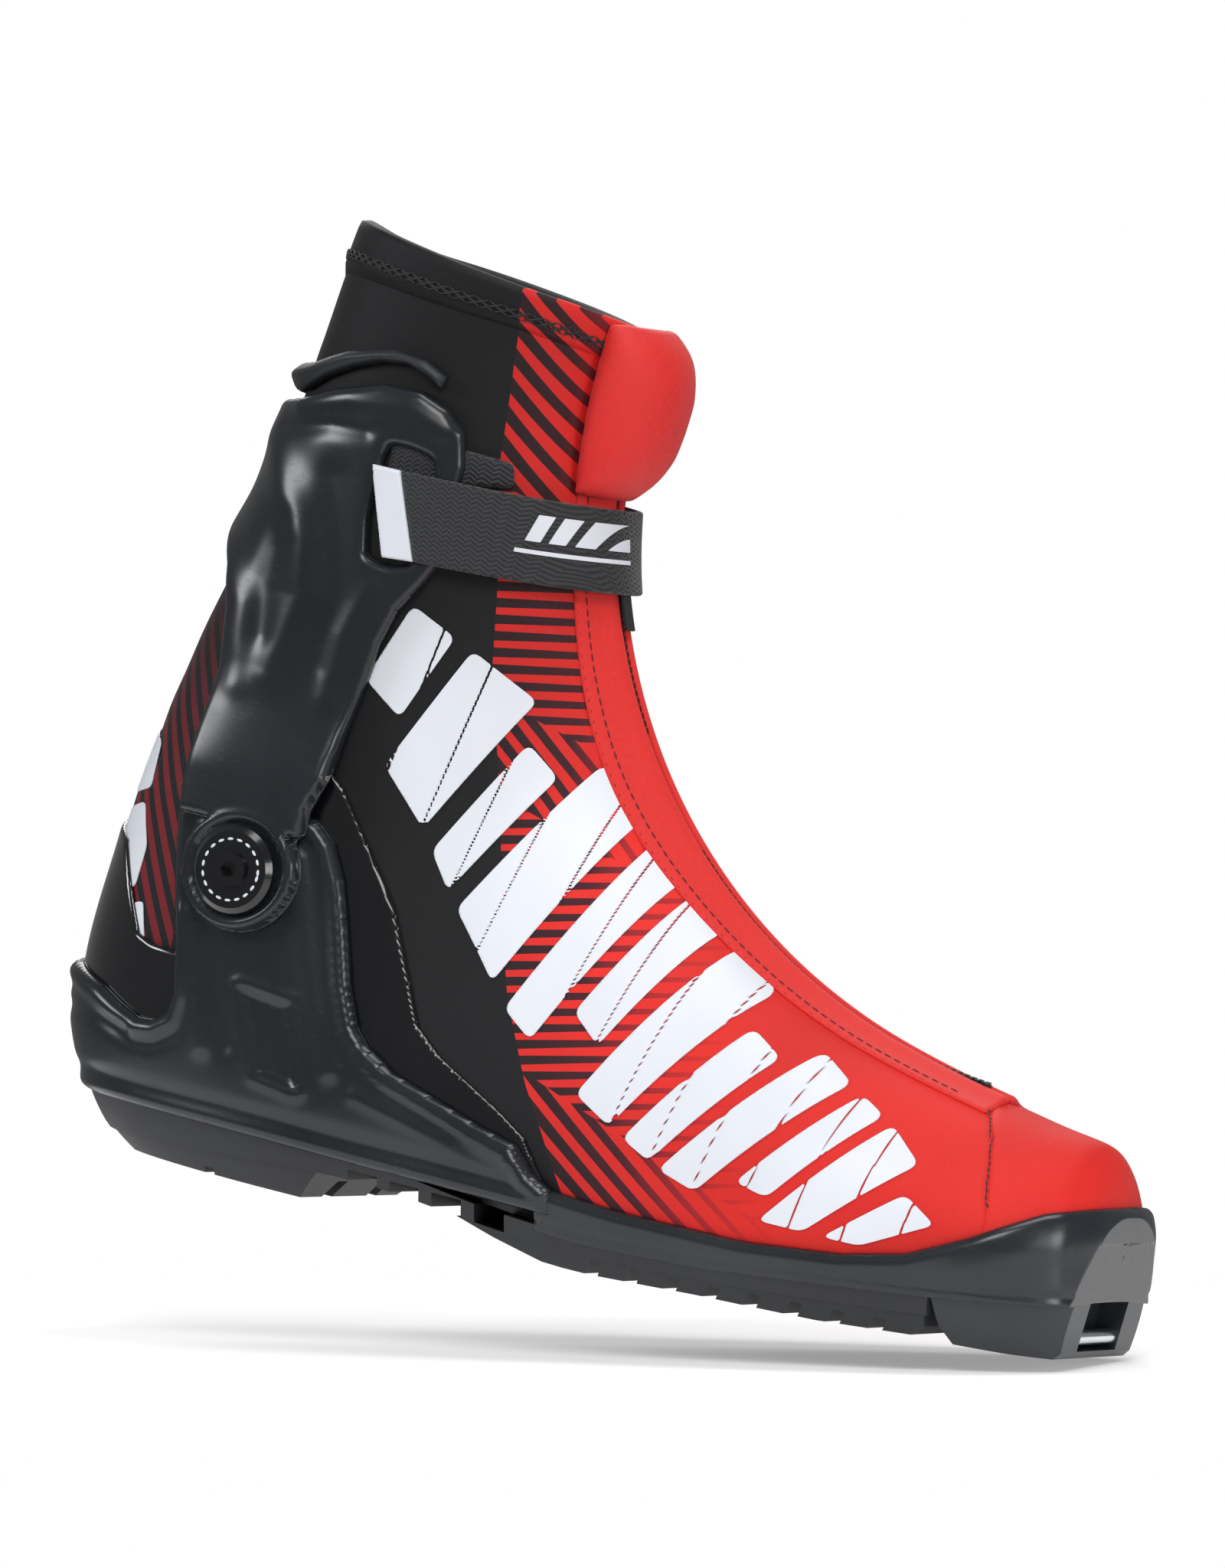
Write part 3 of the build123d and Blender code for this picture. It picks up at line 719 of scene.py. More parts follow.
FINISHES = {
    "print": lambda: printed_cloth("printed_softshell"),
    "lining": lambda: plain_cloth("brushed_lining", (0.010, 0.011, 0.013), (0.030, 0.031, 0.036)),
    "tongue": lambda: plain_cloth("padded_red_cloth", scaled(colors().tongue, 1), scaled(colors().tongue, 1.2), 0.0009,
                                  0.6, 0.1, 0.35),
    "flap": lambda: plain_cloth("red_flap_cloth", (0.70, 0.014, 0.012), (0.82, 0.026, 0.018), 0.0011),
    "shell": lambda: moulded("shell_plastic", scaled(colors().plastic, 1), scaled(colors().plastic, 2), 0.27, 0.08),
    "cap": lambda: moulded("pivot_cap_plastic", PITCH_BLACK, (0.006, 0.007, 0.009), 0.20, 0.02, 0.4, cad=True),
    "bush": lambda: moulded("pivot_plastic", (0.016, 0.019, 0.025), (0.028, 0.033, 0.041), 0.38, 0.12, cad=True),
    "rim": lambda: moulded("soft_rim_rubber", (0.010, 0.012, 0.016), (0.018, 0.021, 0.026), 0.5, 0.15),
    "gloss": lambda: moulded("gloss_plastic", PITCH_BLACK, (0.007, 0.008, 0.010), 0.11, 0.02, 0.6),
    "film": lambda: moulded("overlay_film", (0.0032, 0.0036, 0.0046), (0.0055, 0.006, 0.0075), 0.17, 0.05, 0.35),
    "white": lambda: moulded("white_print", scaled(colors().chalk, 1), scaled(colors().chalk, 0.9), 0.42, 0.06),
    "sole": lambda: moulded("sole_rubber", (0.0075, 0.0085, 0.011), (0.014, 0.016, 0.020), 0.52, 0.25, cad=True),
    "toe": lambda: moulded("toe_block_plastic", (0.013, 0.0155, 0.019), (0.022, 0.026, 0.031), 0.34, 0.10, cad=True),
    "webbing": lambda: webbing_cloth("strap_webbing"),
    "steel": lambda: brushed_steel("bright_steel"),
    "slider": lambda: moulded("black_slider", (0.01, 0.01, 0.012), (0.02, 0.02, 0.024), 0.3, 0.05),
    "thread": lambda: plain_cloth("black_thread", (0.006, 0.006, 0.008), (0.02, 0.02, 0.024), 0.0006),
    "red_thread": lambda: plain_cloth("dark_red_thread", (0.10, 0.004, 0.006), (0.2, 0.008, 0.010), 0.0006),
    "coil": lambda: moulded("zip_coil", (0.006, 0.006, 0.007), (0.014, 0.014, 0.016), 0.35, 0.05, cad=True),
}
MATERIALS = {}


def finish_of(name):
    """A material by its short name, made once."""
    if name not in MATERIALS:
        MATERIALS[name] = FINISHES[name]()
    return MATERIALS[name]


def finish_nodes(finishes):
    """Gives CAD nodes that show as they are their materials."""
    for node, finish in finishes.items():
        mesh = frame["nodes"][node].data
        mesh.materials.clear()
        mesh.materials.append(finish_of(finish))


def dress(piece, name):
    """Gives a piece its material."""
    piece.data.materials.clear()
    piece.data.materials.append(finish_of(name))
    return piece


# ---------------------------------------------------------------- repeats along a line
def surface_line(points, lift, side, gap):
    """Points just over the form, a gap apart, that follow a side-view line, found on the form's grid."""
    u, t, _ = grid((0.6, LAST - 0.01), (0.02, pi - 0.1), (700, 420))
    p = form_point(u, t)
    made = []
    for (x0, z0), (x1, z1) in zip(points, points[1:]):
        count = max(int(sqrt((x1 - x0) ** 2 + (z1 - z0) ** 2) / gap), 1)
        for k in range(count):
            x, z = x0 + (x1 - x0) * (k / count), z0 + (z1 - z0) * (k / count)
            i = int(np.argmin((p[:, 0] - x) ** 2 + (p[:, 2] - z) ** 2))
            spot = form_point(u[i], t[i]) + form_normal(u[i:i + 1], t[i:i + 1])[0] * lift
            made.append((spot[0], -side * spot[1], spot[2]))
    return made


def ridge_line(width, angle0, angle1, lift, count, side):
    """Points along the instep at a distance from the middle, just over the form."""
    u = np.array([u_of(a) for a in np.linspace(angle0, angle1, count)])
    t = np.arcsin(np.clip(width / stations_at(u)[:, 4], -1, 1))
    spot = form_point(u, t) + form_normal(u, t) * lift
    spot[:, 1] *= -side
    return spot.tolist()


def stitch_tree():
    """Geometry Nodes: instances a thread on points spaced along a curve, then makes them real."""
    tree = bpy.data.node_groups.new("stitches_along", "GeometryNodeTree")
    face = tree.interface
    face.new_socket("Geometry", in_out="INPUT", socket_type="NodeSocketGeometry")
    for name, kind, value in (("Pitch", "NodeSocketFloat", 0.003), ("Length", "NodeSocketFloat", 0.002),
                              ("Thickness", "NodeSocketFloat", 0.0004), ("Zigzag", "NodeSocketFloat", 0.0)):
        socket = face.new_socket(name, in_out="INPUT", socket_type=kind)
        socket.default_value = value
    face.new_socket("Thread", in_out="INPUT", socket_type="NodeSocketMaterial")
    face.new_socket("Geometry", in_out="OUTPUT", socket_type="NodeSocketGeometry")

    def node(kind, **settings):
        made = tree.nodes.new(kind)
        for key, value in settings.items():
            setattr(made, key, value)
        return made

    def join(a, b):
        tree.links.new(a, b)

    start, stop = node("NodeGroupInput"), node("NodeGroupOutput")
    spread = node("GeometryNodeCurveToPoints", mode="LENGTH")
    join(start.outputs["Geometry"], spread.inputs["Curve"])
    join(start.outputs["Pitch"], spread.inputs["Length"])
    thread = node("GeometryNodeMeshUVSphere")
    thread.inputs["Segments"].default_value, thread.inputs["Rings"].default_value = 6, 5
    thread.inputs["Radius"].default_value = 0.5
    size = node("ShaderNodeCombineXYZ")
    join(start.outputs["Thickness"], size.inputs[0])
    join(start.outputs["Thickness"], size.inputs[1])
    join(start.outputs["Length"], size.inputs[2])
    place = node("GeometryNodeInstanceOnPoints")
    join(spread.outputs["Points"], place.inputs["Points"])
    join(thread.outputs["Mesh"], place.inputs["Instance"])
    join(size.outputs[0], place.inputs["Scale"])
    # every other thread leans the other way by the zigzag angle
    index = node("GeometryNodeInputIndex")
    odd = node("ShaderNodeMath", operation="MODULO")
    odd.inputs[1].default_value = 2
    join(index.outputs[0], odd.inputs[0])
    sign = node("ShaderNodeMath", operation="MULTIPLY_ADD")
    sign.inputs[1].default_value, sign.inputs[2].default_value = 2, -1
    join(odd.outputs[0], sign.inputs[0])
    lean = node("ShaderNodeMath", operation="MULTIPLY")
    join(sign.outputs[0], lean.inputs[0])
    join(start.outputs["Zigzag"], lean.inputs[1])
    turn = node("FunctionNodeAxisAngleToRotation")
    turn.inputs["Axis"].default_value = (1, 0, 0)
    join(lean.outputs[0], turn.inputs["Angle"])
    both_turns = node("FunctionNodeRotateRotation", rotation_space="LOCAL")
    join(spread.outputs["Rotation"], both_turns.inputs["Rotation"])
    join(turn.outputs[0], both_turns.inputs["Rotate By"])
    join(both_turns.outputs[0], place.inputs["Rotation"])
    real = node("GeometryNodeRealizeInstances")
    join(place.outputs[0], real.inputs[0])
    coat = node("GeometryNodeSetMaterial")
    join(real.outputs[0], coat.inputs["Geometry"])
    join(start.outputs["Thread"], coat.inputs["Material"])
    join(coat.outputs[0], stop.inputs[0])
    return tree


def stitched(name, lines, thread, pitch, length, thickness, zigzag=0.0):
    """A row of thread stitches along each line of points, in millimetres, as one plain mesh."""
    curve = bpy.data.curves.new(name + "_line", "CURVE")
    curve.dimensions = "3D"
    curve.twist_mode = "Z_UP"
    for line in lines:
        spline = curve.splines.new("POLY")
        spline.points.add(len(line) - 1)
        for point, (x, y, z) in zip(spline.points, line):
            point.co = (x * MM, y * MM, z * MM, 1)
    guide = linked(name + "_line", curve)
    tree = bpy.data.node_groups.get("stitches_along") or stitch_tree()
    layer = guide.modifiers.new("stitches", "NODES")
    layer.node_group = tree
    sockets = {s.name: s.identifier for s in tree.interface.items_tree
               if s.item_type == "SOCKET" and s.in_out == "INPUT"}
    for key, value in (("Pitch", pitch * MM), ("Length", length * MM), ("Zigzag", zigzag),
                       ("Thickness", thickness * MM * sizes().stitch / THREAD), ("Thread", finish_of(thread))):
        layer[sockets[key]] = value
    mesh = evaluated_mesh(guide)
    mesh.name = name
    bpy.data.objects.remove(guide, do_unlink=True)
    mesh.shade_smooth()
    remember_place(mesh)
    return linked(name, mesh)


# ---------------------------------------------------------------- pieces
COLLAR_LOW, COLLAR_TOP = 94.7, 98.4                                    # fan angles of the folded band
SLIT_PITCH, SLIT_HALF = 14.0, 0.30                                     # the fine slits through the print


def flexing(piece):
    """Bakes a piece's place into its mesh and leaves it on no body; used for the cloth that runs across the ankle, from
    the foot to the shaft.
    """
    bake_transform(piece)
    return piece


def upper_lift(p, edge):
    """The cloth's outer face: soft folds at the ankle's bend and a dip at the sole."""
    x, y, z = p[:, 0], p[:, 1], p[:, 2]
    bend = bell(np.hypot(x + 5, z - 128), 34) * bell(y, 60)
    folds = np.sin((z - x * 0.35) / 3.6 + np.abs(y) * 0.05) * 0.28
    heel = bell(np.hypot(x + 140, z - 112), 24) * np.sin((z + x * 0.1) / 3.9) * 0.22
    return bend * folds + heel - 0.25 * np.exp(-edge / 1.5)


def build_upper():
    """The outer cloth, one tube from the toe to the collar."""
    field = both(above(SOLE_LINE, -3), under_collar(96.6))
    piece = skin("upper_cloth", field, -1.8, upper_lift, (0.0, u_of(97.2)), (0, 2 * pi), (236, 170),
                 ring=True)
    dress(piece, "print")
    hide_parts("upper_foot", "upper_shaft")
    return flexing(piece)


def build_lining():
    """The brushed lining, from the insole to the collar."""
    field = both(above(SOLE_LINE, 2), under_collar(95.9))
    piece = skin("lining_cloth", field, -5.8, -2.4, (4.2, u_of(96.5)), (0, 2 * pi), (130, 96), ring=True)
    dress(piece, "lining")
    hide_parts("lining_foot", "shaft_lining")
    return flexing(piece)


def build_collar():
    """The folded collar: one band that rolls over the top edge to the inside."""
    rows, around = 15, 180

    def ring(angle, lift, t, wave=0.0):
        """One ring of points round the collar."""
        drop = collar_drop(form_point(np.full(len(t), u_of(96.0)), t)[:, 1])
        u = np.interp(angle - drop, STATIONS[:, 0], np.arange(LAST + 1))
        return form_point(u, t) + form_normal(u, t) * (lift + wave * np.sin(t * 9 + 1))[:, None]
    t = np.linspace(0, 2 * pi, around + 1)[:-1]
    points = []
    for f in (i / (rows - 1) for i in range(rows)):
        if f < 0.4:
            angle, lift = COLLAR_LOW + (COLLAR_TOP - COLLAR_LOW) * (f / 0.4), 0.10 + min(1.0, f / 0.06)
        elif f < 0.6:
            turn = (f - 0.4) / 0.2 * pi
            angle, lift = COLLAR_TOP + 0.75 * sin(turn), -1.4 + 2.5 * cos(turn)
        else:
            angle, lift = COLLAR_TOP - 3.2 * (f - 0.6) / 0.4, -3.9
        points.append(ring(angle, lift, t, 0.03))
    points.append(ring(COLLAR_LOW, -1.2, t))
    count = rows + 1
    faces = [(i * around + j, i * around + (j + 1) % around, (i + 1) % count * around + (j + 1) % around,
              (i + 1) % count * around + j) for i in range(count) for j in range(around)]
    piece = new_object("collar_fold", np.concatenate(points), faces)
    dress(piece, "print")
    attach(piece, BODY_CUFF)
    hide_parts("collar_band")
    seam = ring(95.9, 1.3, np.linspace(0.30, 2 * pi - 0.30, 240))
    zigzag = stitched("collar_zigzag", [seam.tolist()], "thread", 1.9, 6.4, 0.75, 0.42)
    dress(zigzag, "thread")
    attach(zigzag, BODY_CUFF)


def build_print():
    """Thin pale blocks printed on both sides of the quarter and at the heel."""
    def block(start, stop, low, high):
        """A block between two shares along the band and two across it."""
        spots = []
        for f, g in ((start, high), (stop, high), (stop + 0.012, low), (start + 0.012, low)):
            top, base = (np.array([np.interp(f * (len(line) - 1), range(len(line)), np.array(line)[:, k])
                                   for k in (0, 1)]) for line in (BAND_TOP, BAND_LOW))
            spots.append(tuple(base + (top - base) * g))
        return spots

    def slits(p):
        across = (p[:, 0] * 0.98 - p[:, 2] * 0.17 + 5.0) % SLIT_PITCH
        return np.abs(across - SLIT_PITCH / 2) - SLIT_HALF
    quarter = either(*(outline_field(rounded(block(*shares), 2.4)) for shares in BLOCKS))
    heel = either(*(outline_field(rounded(bar, 1.5)) for bar in BACK_BARS))
    for name, field, first, sweep in (("print_bars", both(quarter, slits, above(SOLE_LINE, 0.8)), 4.0, (0.3, pi - 0.3)),
                                      ("heel_print_bars", both(heel, slits), u_of(46), (0.35, pi - 0.02))):
        piece = mirrored(skin(name, field, 0.05, 0.42, (first, u_of(84)), sweep, (520, 300)))
        dress(piece, "white")
        flexing(piece)


def build_overlays():
    """The welded film beside the shell, the glossy heel counter and the toe cap."""
    film = skin("quarter_film", both(outline_field(OVERLAY_EDGE), above(SOLE_LINE, -4)), 0.05,
                crisp(0.95, 1.2, 0.5, 0.05), (u_of(4), u_of(78)), (0.45, pi - 0.05), (330, 190))
    mirrored(film)
    dress(film, "film")
    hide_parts("quarter_overlay")
    flexing(film)
    counter = skin("heel_counter_shell", outline_field(COUNTER_OUTLINE), 0.1, crisp(1.3, 1.6, 0.45, 0.1),
                   (u_of(38), u_of(76)), (pi * 0.42, pi * 1.58), (240, 230))
    dress(counter, "gloss")
    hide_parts("heel_counter")
    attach(counter, BODY_FOOT)
    toe = skin("toe_cap_cloth", both(outline_field(TOE_OUTLINE), above(SOLE_LINE, -2.6)), 0.02,
               crisp(0.75, 1.6, 0.25, 0.02), (0.0, u_of(14)), (-1.9, 1.9), (150, 190))
    dress(toe, "print")
    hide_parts("toe_cap")
    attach(toe, BODY_FOOT)


ZIP_GAP, FLAP_WIDE, FLAP_FRONT, FLAP_TOP = 1.2, 14.0, 112, 199
TOE_SEAM = [(101, 71.6), (104, 69.2), (110, 65.2), (116, 60.2), (119, 57.4), (122, 52.6), (124, 48.2), (126.4, 42)]


def build_zip():
    """The two cloth flaps beside the zip, their double stitching and the toe cap's."""
    def field(p):
        side = np.abs(p[:, 1])
        narrow = 3 * (p[:, 2] < 60)
        return np.minimum.reduce([side - ZIP_GAP, FLAP_WIDE - side - narrow, FLAP_FRONT - p[:, 0],
                                  FLAP_TOP - p[:, 2]])

    def lift(p, edge):
        return crisp(1.0, 1.1, 0.35, 0.03)(p, edge) + 1.75 * bell(np.abs(p[:, 1]) - 2.2, 4.5)
    for name, sweep in (("zip_flap_outer", (0.030, 0.40)), ("zip_flap_inner", (-0.40, -0.030))):
        piece = skin(name, field, 0.03, lift, (u_of(0), u_of(92)), sweep, (300, 44))
        dress(piece, "flap")
        flexing(piece)
    lines = [ridge_line(width, 6, 84, lift_by, 260, side)
             for side in (-1, 1) for width, lift_by in ((11.2, 1.15), (13.4, 0.75))]
    seam = stitched("instep_stitches", lines, "red_thread", 2.9, 2.3, 0.5)
    dress(seam, "red_thread")
    flexing(seam)
    rows = [surface_line(TOE_SEAM, 0.72, side, 0.6) for side in (-1, 1)]
    seam = stitched("toe_cap_stitches", rows, "thread", 2.2, 1.8, 0.45)
    dress(seam, "thread")
    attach(seam, BODY_FOOT)


SHELL_RECESS = [(-89, 51), (-74, 49.5), (-71.5, 44), (-67, 29), (-79, 30.5)]
SHELL_RIDGES = [                       # (how high, how wide, only away from the edge, side-view line)
    (1.0, 3.2, True, [(-82, 86), (-76, 70), (-68, 52), (-58, 36)]),
    (-0.9, 2.8, False, [(-103, 66), (-97, 48), (-90, 36)]),
    (0.8, 3.0, True, [(-109, 66), (-104, 48), (-97, 34)]),
    (-0.7, 2.2, False, [(-122, 33), (-140, 34), (-170, 35)]),
    (0.5, 2.0, False, [(-50, 31), (-25, 27), (-2, 24)])]
CUFF_RIDGES = [
    (1.5, 5.5, False, [(-113, 192), (-106, 180), (-97, 168), (-94, 154), (-99, 132)]),
    (-0.9, 4.5, False, [(-92, 186), (-88, 172), (-86, 156), (-88, 138)]),
    (1.0, 3.2, False, [(-106, 202), (-92, 206.5), (-76, 208), (-66, 204)]),
    (-0.9, 2.8, False, [(-110, 196), (-96, 199.5), (-86, 200)]),
    (0.9, 4.5, False, [(-124, 196), (-128, 178), (-124, 164), (-112, 148), (-108, 128)]),
    (0.8, 3.4, False, [(-82, 130), (-81, 146), (-76, 160)]),
    (-0.6, 3.6, False, [(-104, 172), (-106, 156), (-104, 142)])]
BOSS_FLAT, BOSS_TALL = 17, 5.3         # the shell stays this low within this distance of the pivot


def ridges(p, edge, table):
    """How much the ridges and grooves of a table lift a face."""
    return sum(high * bell(line_distance(p, line), wide) * ((edge > 2) | (not away))
               for high, wide, away, line in table)


def shell_lift(p, edge):
    """The heel shell's outer face: a rim along its edge, a recessed panel, ridges down the arm and the pivot's boss."""
    recess = outline_field(SHELL_RECESS)(p)
    lift = crisp(sizes().shell_wall / MM, 2.4, 0.35, 1.1)(p, edge)
    lift += 0.55 * bell(edge - 2.6, 1.5) - 0.55 * bell(edge - 6.2, 1.8)
    lift -= 1.25 * smooth_step(recess, -0.8, 1.6)
    lift += 0.5 * bell(recess + 1.8, 1.5) * (edge > 4)
    lift += ridges(p, edge, SHELL_RIDGES)
    return np.where(pivot_distance(p) < BOSS_FLAT, np.minimum(lift, BOSS_TALL), lift)


FACET_X, FACET_LEAN, FACET_TOP, NOSE_X = 148.9, 0.088, 38.0, 152.0      # the flat plane across the toe
RAND_START, RAND_WALL = 7.5, 1.5


def build_shell():
    """The moulded heel shell with its two ankle arms, and the rand that runs on round the toe."""
    shell = skin("heel_shell_body", outline_field(SHELL_OUTLINE), 0.95, shell_lift, (u_of(26), u_of(73)),
                 (0.55, 2 * pi - 0.55), (250, 300))
    dress(shell, "shell")
    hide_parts("heel_shell")
    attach(shell, BODY_FOOT)
    step = above(SOLE_STEP, -1.0)

    def lift(p, edge):
        """A rounded top edge, a groove along the sole and a fuller nose."""
        top = -above(SOLE_LINE)(p)
        groove = 0.45 * bell(above(SOLE_STEP)(p) - 1.4, 0.8)
        nose = smooth_step(p[:, 0], 112, 146) * 0.5 * bell(top - 7, 5)
        return crisp(3.1, 3.0, 0.30, 0.1)(p, top) - groove + nose

    def facet(spot, front):
        """Holds both faces behind a flat plane across the toe, the inner one a wall further back."""
        limit = np.where(spot[:, 2] < FACET_TOP, FACET_X + (spot[:, 2] - 5) * FACET_LEAN, NOSE_X)
        spot[:, 0] = np.minimum(spot[:, 0], limit if front else limit - RAND_WALL)
        return spot
    rand = skin("toe_rand", both(outside(above(SOLE_LINE)), step, lambda p: p[:, 0] - RAND_START), 0.05, lift,
                (0.0, u_of(36)), (0, 2 * pi), (210, 300), ring=True, move=facet)
    dress(rand, "shell")
    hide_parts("rand")
    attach(rand, BODY_FOOT)


def cuff_lift(p, edge):
    """The cuff's outer face: a spine, a shoulder ridge and the horn over the strap, and the arm out to its boss."""
    arm = smooth_step(-p[:, 2], -134, -104) * smooth_step(edge, -0.5, 1.0)
    near = pivot_distance(p)
    lift = crisp(sizes().cuff_wall / MM, 2.6, 0.32, 1.4)(p, edge) + ridges(p, edge, CUFF_RIDGES) + ARM_STAND * arm
    return lift - 0.9 * smooth_step(SEAT_RADIUS - near, 0, 0.9) + 0.5 * bell(near - SEAT_RING, 1.0)


BOSS_RADIUS, SEAT_RING, SEAT_RADIUS, TICK_RADIUS = 16.4, 14.6, 13.2, 8.0
ARM_STAND = 4.9                        # how far the cuff's arm stands out over the shell's


def cuff_hollow(p, edge):
    """The cuff's inner face, which stands off the shell at the arms."""
    return 1.4 + 4.45 * smooth_step(-p[:, 2], -118, -106)


def build_cuff():
    """The pivoting cuff, its soft rim and the ankle pivot."""
    def boss(p):
        return BOSS_RADIUS - pivot_distance(p)
    field = both(either(outline_field(CUFF_OUTLINE), boss), outside(outline_field(rounded(CUFF_SLOT, 2.0))))
    cuff = skin("cuff_body", field, cuff_hollow, cuff_lift, (u_of(50), u_of(90)), (0.5, 2 * pi - 0.5), (250, 300))
    dress(cuff, "shell")
    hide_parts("cuff")
    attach(cuff, BODY_CUFF)
    rim = skin("cuff_soft_rim", outline_field(RIM_OUTLINE), 0.3,
               lambda p, e: crisp(3.8, 3.0, 0.3, 0.3)(p, e) + 1.0 * bell(e - 3.5, 1.4), (u_of(78), u_of(96)),
               (0.5, 2 * pi - 0.5), (110, 300))
    dress(rim, "rim")
    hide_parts("cuff_rim")
    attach(rim, BODY_CUFF)
    for side, name in ((-1, "lateral"), (1, "medial")):
        finish_nodes({f"pivot_{part}_{name}": finish for part, finish in (
            ("cap", "cap"), ("bushing", "bush"), ("screw", "cap"), ("nut", "steel"))})
        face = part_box(f"pivot_cap_{name}")[0 if side < 0 else 1][1] / MM
        ring = [(PIVOT_X + TICK_RADIUS * cos(a), face + side * 0.05, PIVOT_Z + TICK_RADIUS * sin(a))
                for a in np.linspace(0.10, 2 * pi - 0.10, 120)]
        ticks = stitched(f"pivot_ticks_{name}", [ring], "white", 2.6, 1.7, 0.8)
        dress(ticks, "white")
        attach(ticks, BODY_FOOT)


STRAP_LOW = [(-100, 167.5), (-81, 168.5), (-67, 169.5), (-26, 169.5), (100, 169.5)]
STRAP_HIGH = [(-100, 192.5), (-81, 192), (-60, 192), (-26, 191.5), (100, 191.5)]
TIP_BACK = [(160, -72.5), (168, -74.6), (192, -81.5), (200, -83)]       # (height, x)
TIP_FRONT = [(160, -64), (168, -66.6), (192, -74), (200, -76)]
KEEPER_OUTLINE = [(-79, 200), (-70, 201), (-49, 199.5), (-48, 193), (-60, 191), (-79, 190)]
STRAP_MARK = [(-44.5, 180.5), (-41.6, 180.5), (-40.2, 187.6), (-43.1, 187.6)]
STRAP_LINE = [(-46, 177.2), (-26, 177.2), (-26, 178.3), (-46, 178.3)]
MARKS, MARK_PITCH = 4, 4.4
STRAP_STAND = 4.95                                                      # millimetres from the form to the strap


def strap_offset(base):
    """An offset that is a little less on the front ridge than at the sides."""
    return lambda p, edge: base - 0.4 * smooth_step(p[:, 0], -48, -30)


def build_strap():
    """The ribbed strap, its pale tip, the printed bars on it and its fixed end."""
    wide = both(above(STRAP_LOW), outside(above(STRAP_HIGH)))
    rounds = (u_of(71), u_of(84))

    def face(top, radius):
        """A strap's outer face, this thick and with a rounded edge."""
        return lambda p, e: strap_offset(STRAP_STAND)(p, e) + crisp(top, radius, 0.4)(p, e)

    def ends(p):
        """Positive between the tip on the outer side and the fold on the inner one."""
        return np.where(p[:, 1] > 0, p[:, 0] + 71.7, p[:, 0] - at_height(TIP_FRONT, p) - 0.15)
    strap = skin("strap_webbing", both(wide, ends), strap_offset(STRAP_STAND), face(1.55, 0.9), rounds,
                 (-2.3, 2.3), (110, 420))
    dress(strap, "webbing")
    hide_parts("strap")
    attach(strap, BODY_STRAP)
    tip_field = both(wide, lambda p: p[:, 0] - at_height(TIP_BACK, p), lambda p: at_height(TIP_FRONT, p) - p[:, 0],
                     lambda p: -p[:, 1])
    tip = skin("strap_tip_moulded", tip_field, strap_offset(STRAP_STAND), face(1.75, 0.7), rounds, (0.8, 2.3),
               (110, 160))
    dress(tip, "white")
    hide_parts("strap_tip")
    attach(tip, BODY_STRAP)
    marks = [[(x + k * MARK_PITCH, z) for x, z in STRAP_MARK] for k in range(MARKS)] + [STRAP_LINE]
    badge = skin("strap_bars", both(either(*(outline_field(m) for m in marks)), lambda p: -p[:, 1]),
                 strap_offset(6.45), strap_offset(6.75), rounds, (0.02, 1.6), (220, 360))
    dress(badge, "white")
    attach(badge, BODY_STRAP)
    base = skin("strap_fixed_end", both(wide, lambda p: -72.0 - p[:, 0], lambda p: p[:, 0] + 94, lambda p: p[:, 1]),
                strap_offset(STRAP_STAND), face(1.55, 0.9), (u_of(70), u_of(88)), (-2.6, -0.8), (110, 170))
    dress(base, "webbing")
    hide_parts("strap_base")
    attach(base, BODY_CUFF)
    keeper = mirrored(skin("strap_keeper", both(outline_field(rounded(KEEPER_OUTLINE, 2.0)),
                                                lambda p: np.abs(p[:, 1]) - 2), 0.3, crisp(2.2, 1.2, 0.4, 0.3),
                           (u_of(78), u_of(92)), (0.5, 2.2), (120, 140)))
    dress(keeper, "webbing")
    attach(keeper, BODY_CUFF)
    finish_nodes({"strap_rivets": "steel"})


def inflate(piece, voxel, pressure, frames, cap):
    """Remeshes a pad, swells it with a cloth simulation and keeps every point within cap metres of its place."""
    remesh = piece.modifiers.new("even", "REMESH")
    remesh.mode, remesh.voxel_size = "VOXEL", voxel
    even = evaluated_mesh(piece)
    piece.modifiers.clear()
    piece.data = even
    start = np.empty(len(even.vertices) * 3)
    even.vertices.foreach_get("co", start)
    cloth = piece.modifiers.new("swell", "CLOTH")
    settings = cloth.settings
    settings.quality = 5
    settings.use_pressure, settings.uniform_pressure_force = True, pressure
    settings.effector_weights.gravity = 0
    settings.tension_stiffness = settings.compression_stiffness = 25
    cloth.point_cache.frame_start, cloth.point_cache.frame_end = 1, frames
    scene = bpy.context.scene
    for number in range(1, frames + 1):
        scene.frame_set(number)
    swollen = evaluated_mesh(piece)
    piece.modifiers.clear()
    end = np.empty(len(start))
    swollen.vertices.foreach_get("co", end)
    move = (end - start).reshape(-1, 3)
    length = np.linalg.norm(move, axis=1, keepdims=True)
    move *= np.minimum(1, cap / np.maximum(length, 1e-9))
    even.vertices.foreach_set("co", (start.reshape(-1, 3) + move).ravel())
    scene.frame_set(1)
    smooth = piece.modifiers.new("smooth", "SMOOTH")
    smooth.factor, smooth.iterations = 0.5, 6
    finer = piece.modifiers.new("finer", "SUBSURF")
    finer.levels = finer.render_levels = 1
    final = evaluated_mesh(piece)
    piece.modifiers.clear()
    piece.data = final
    final.shade_smooth()
    remember_place(final)


TONGUE_HALF, TONGUE_FOOT, TONGUE_TOP = 16.8, 193.0, 242.0
TONGUE_RISE = [(192, 1.5), (195, 4), (199, 9.5), (206, 14.0), (214, 15.8), (224, 16.6), (232, 15.0), (237, 12.0),
               (240, 7.5), (243, 3)]   # (height, how far the pad stands out from the form)


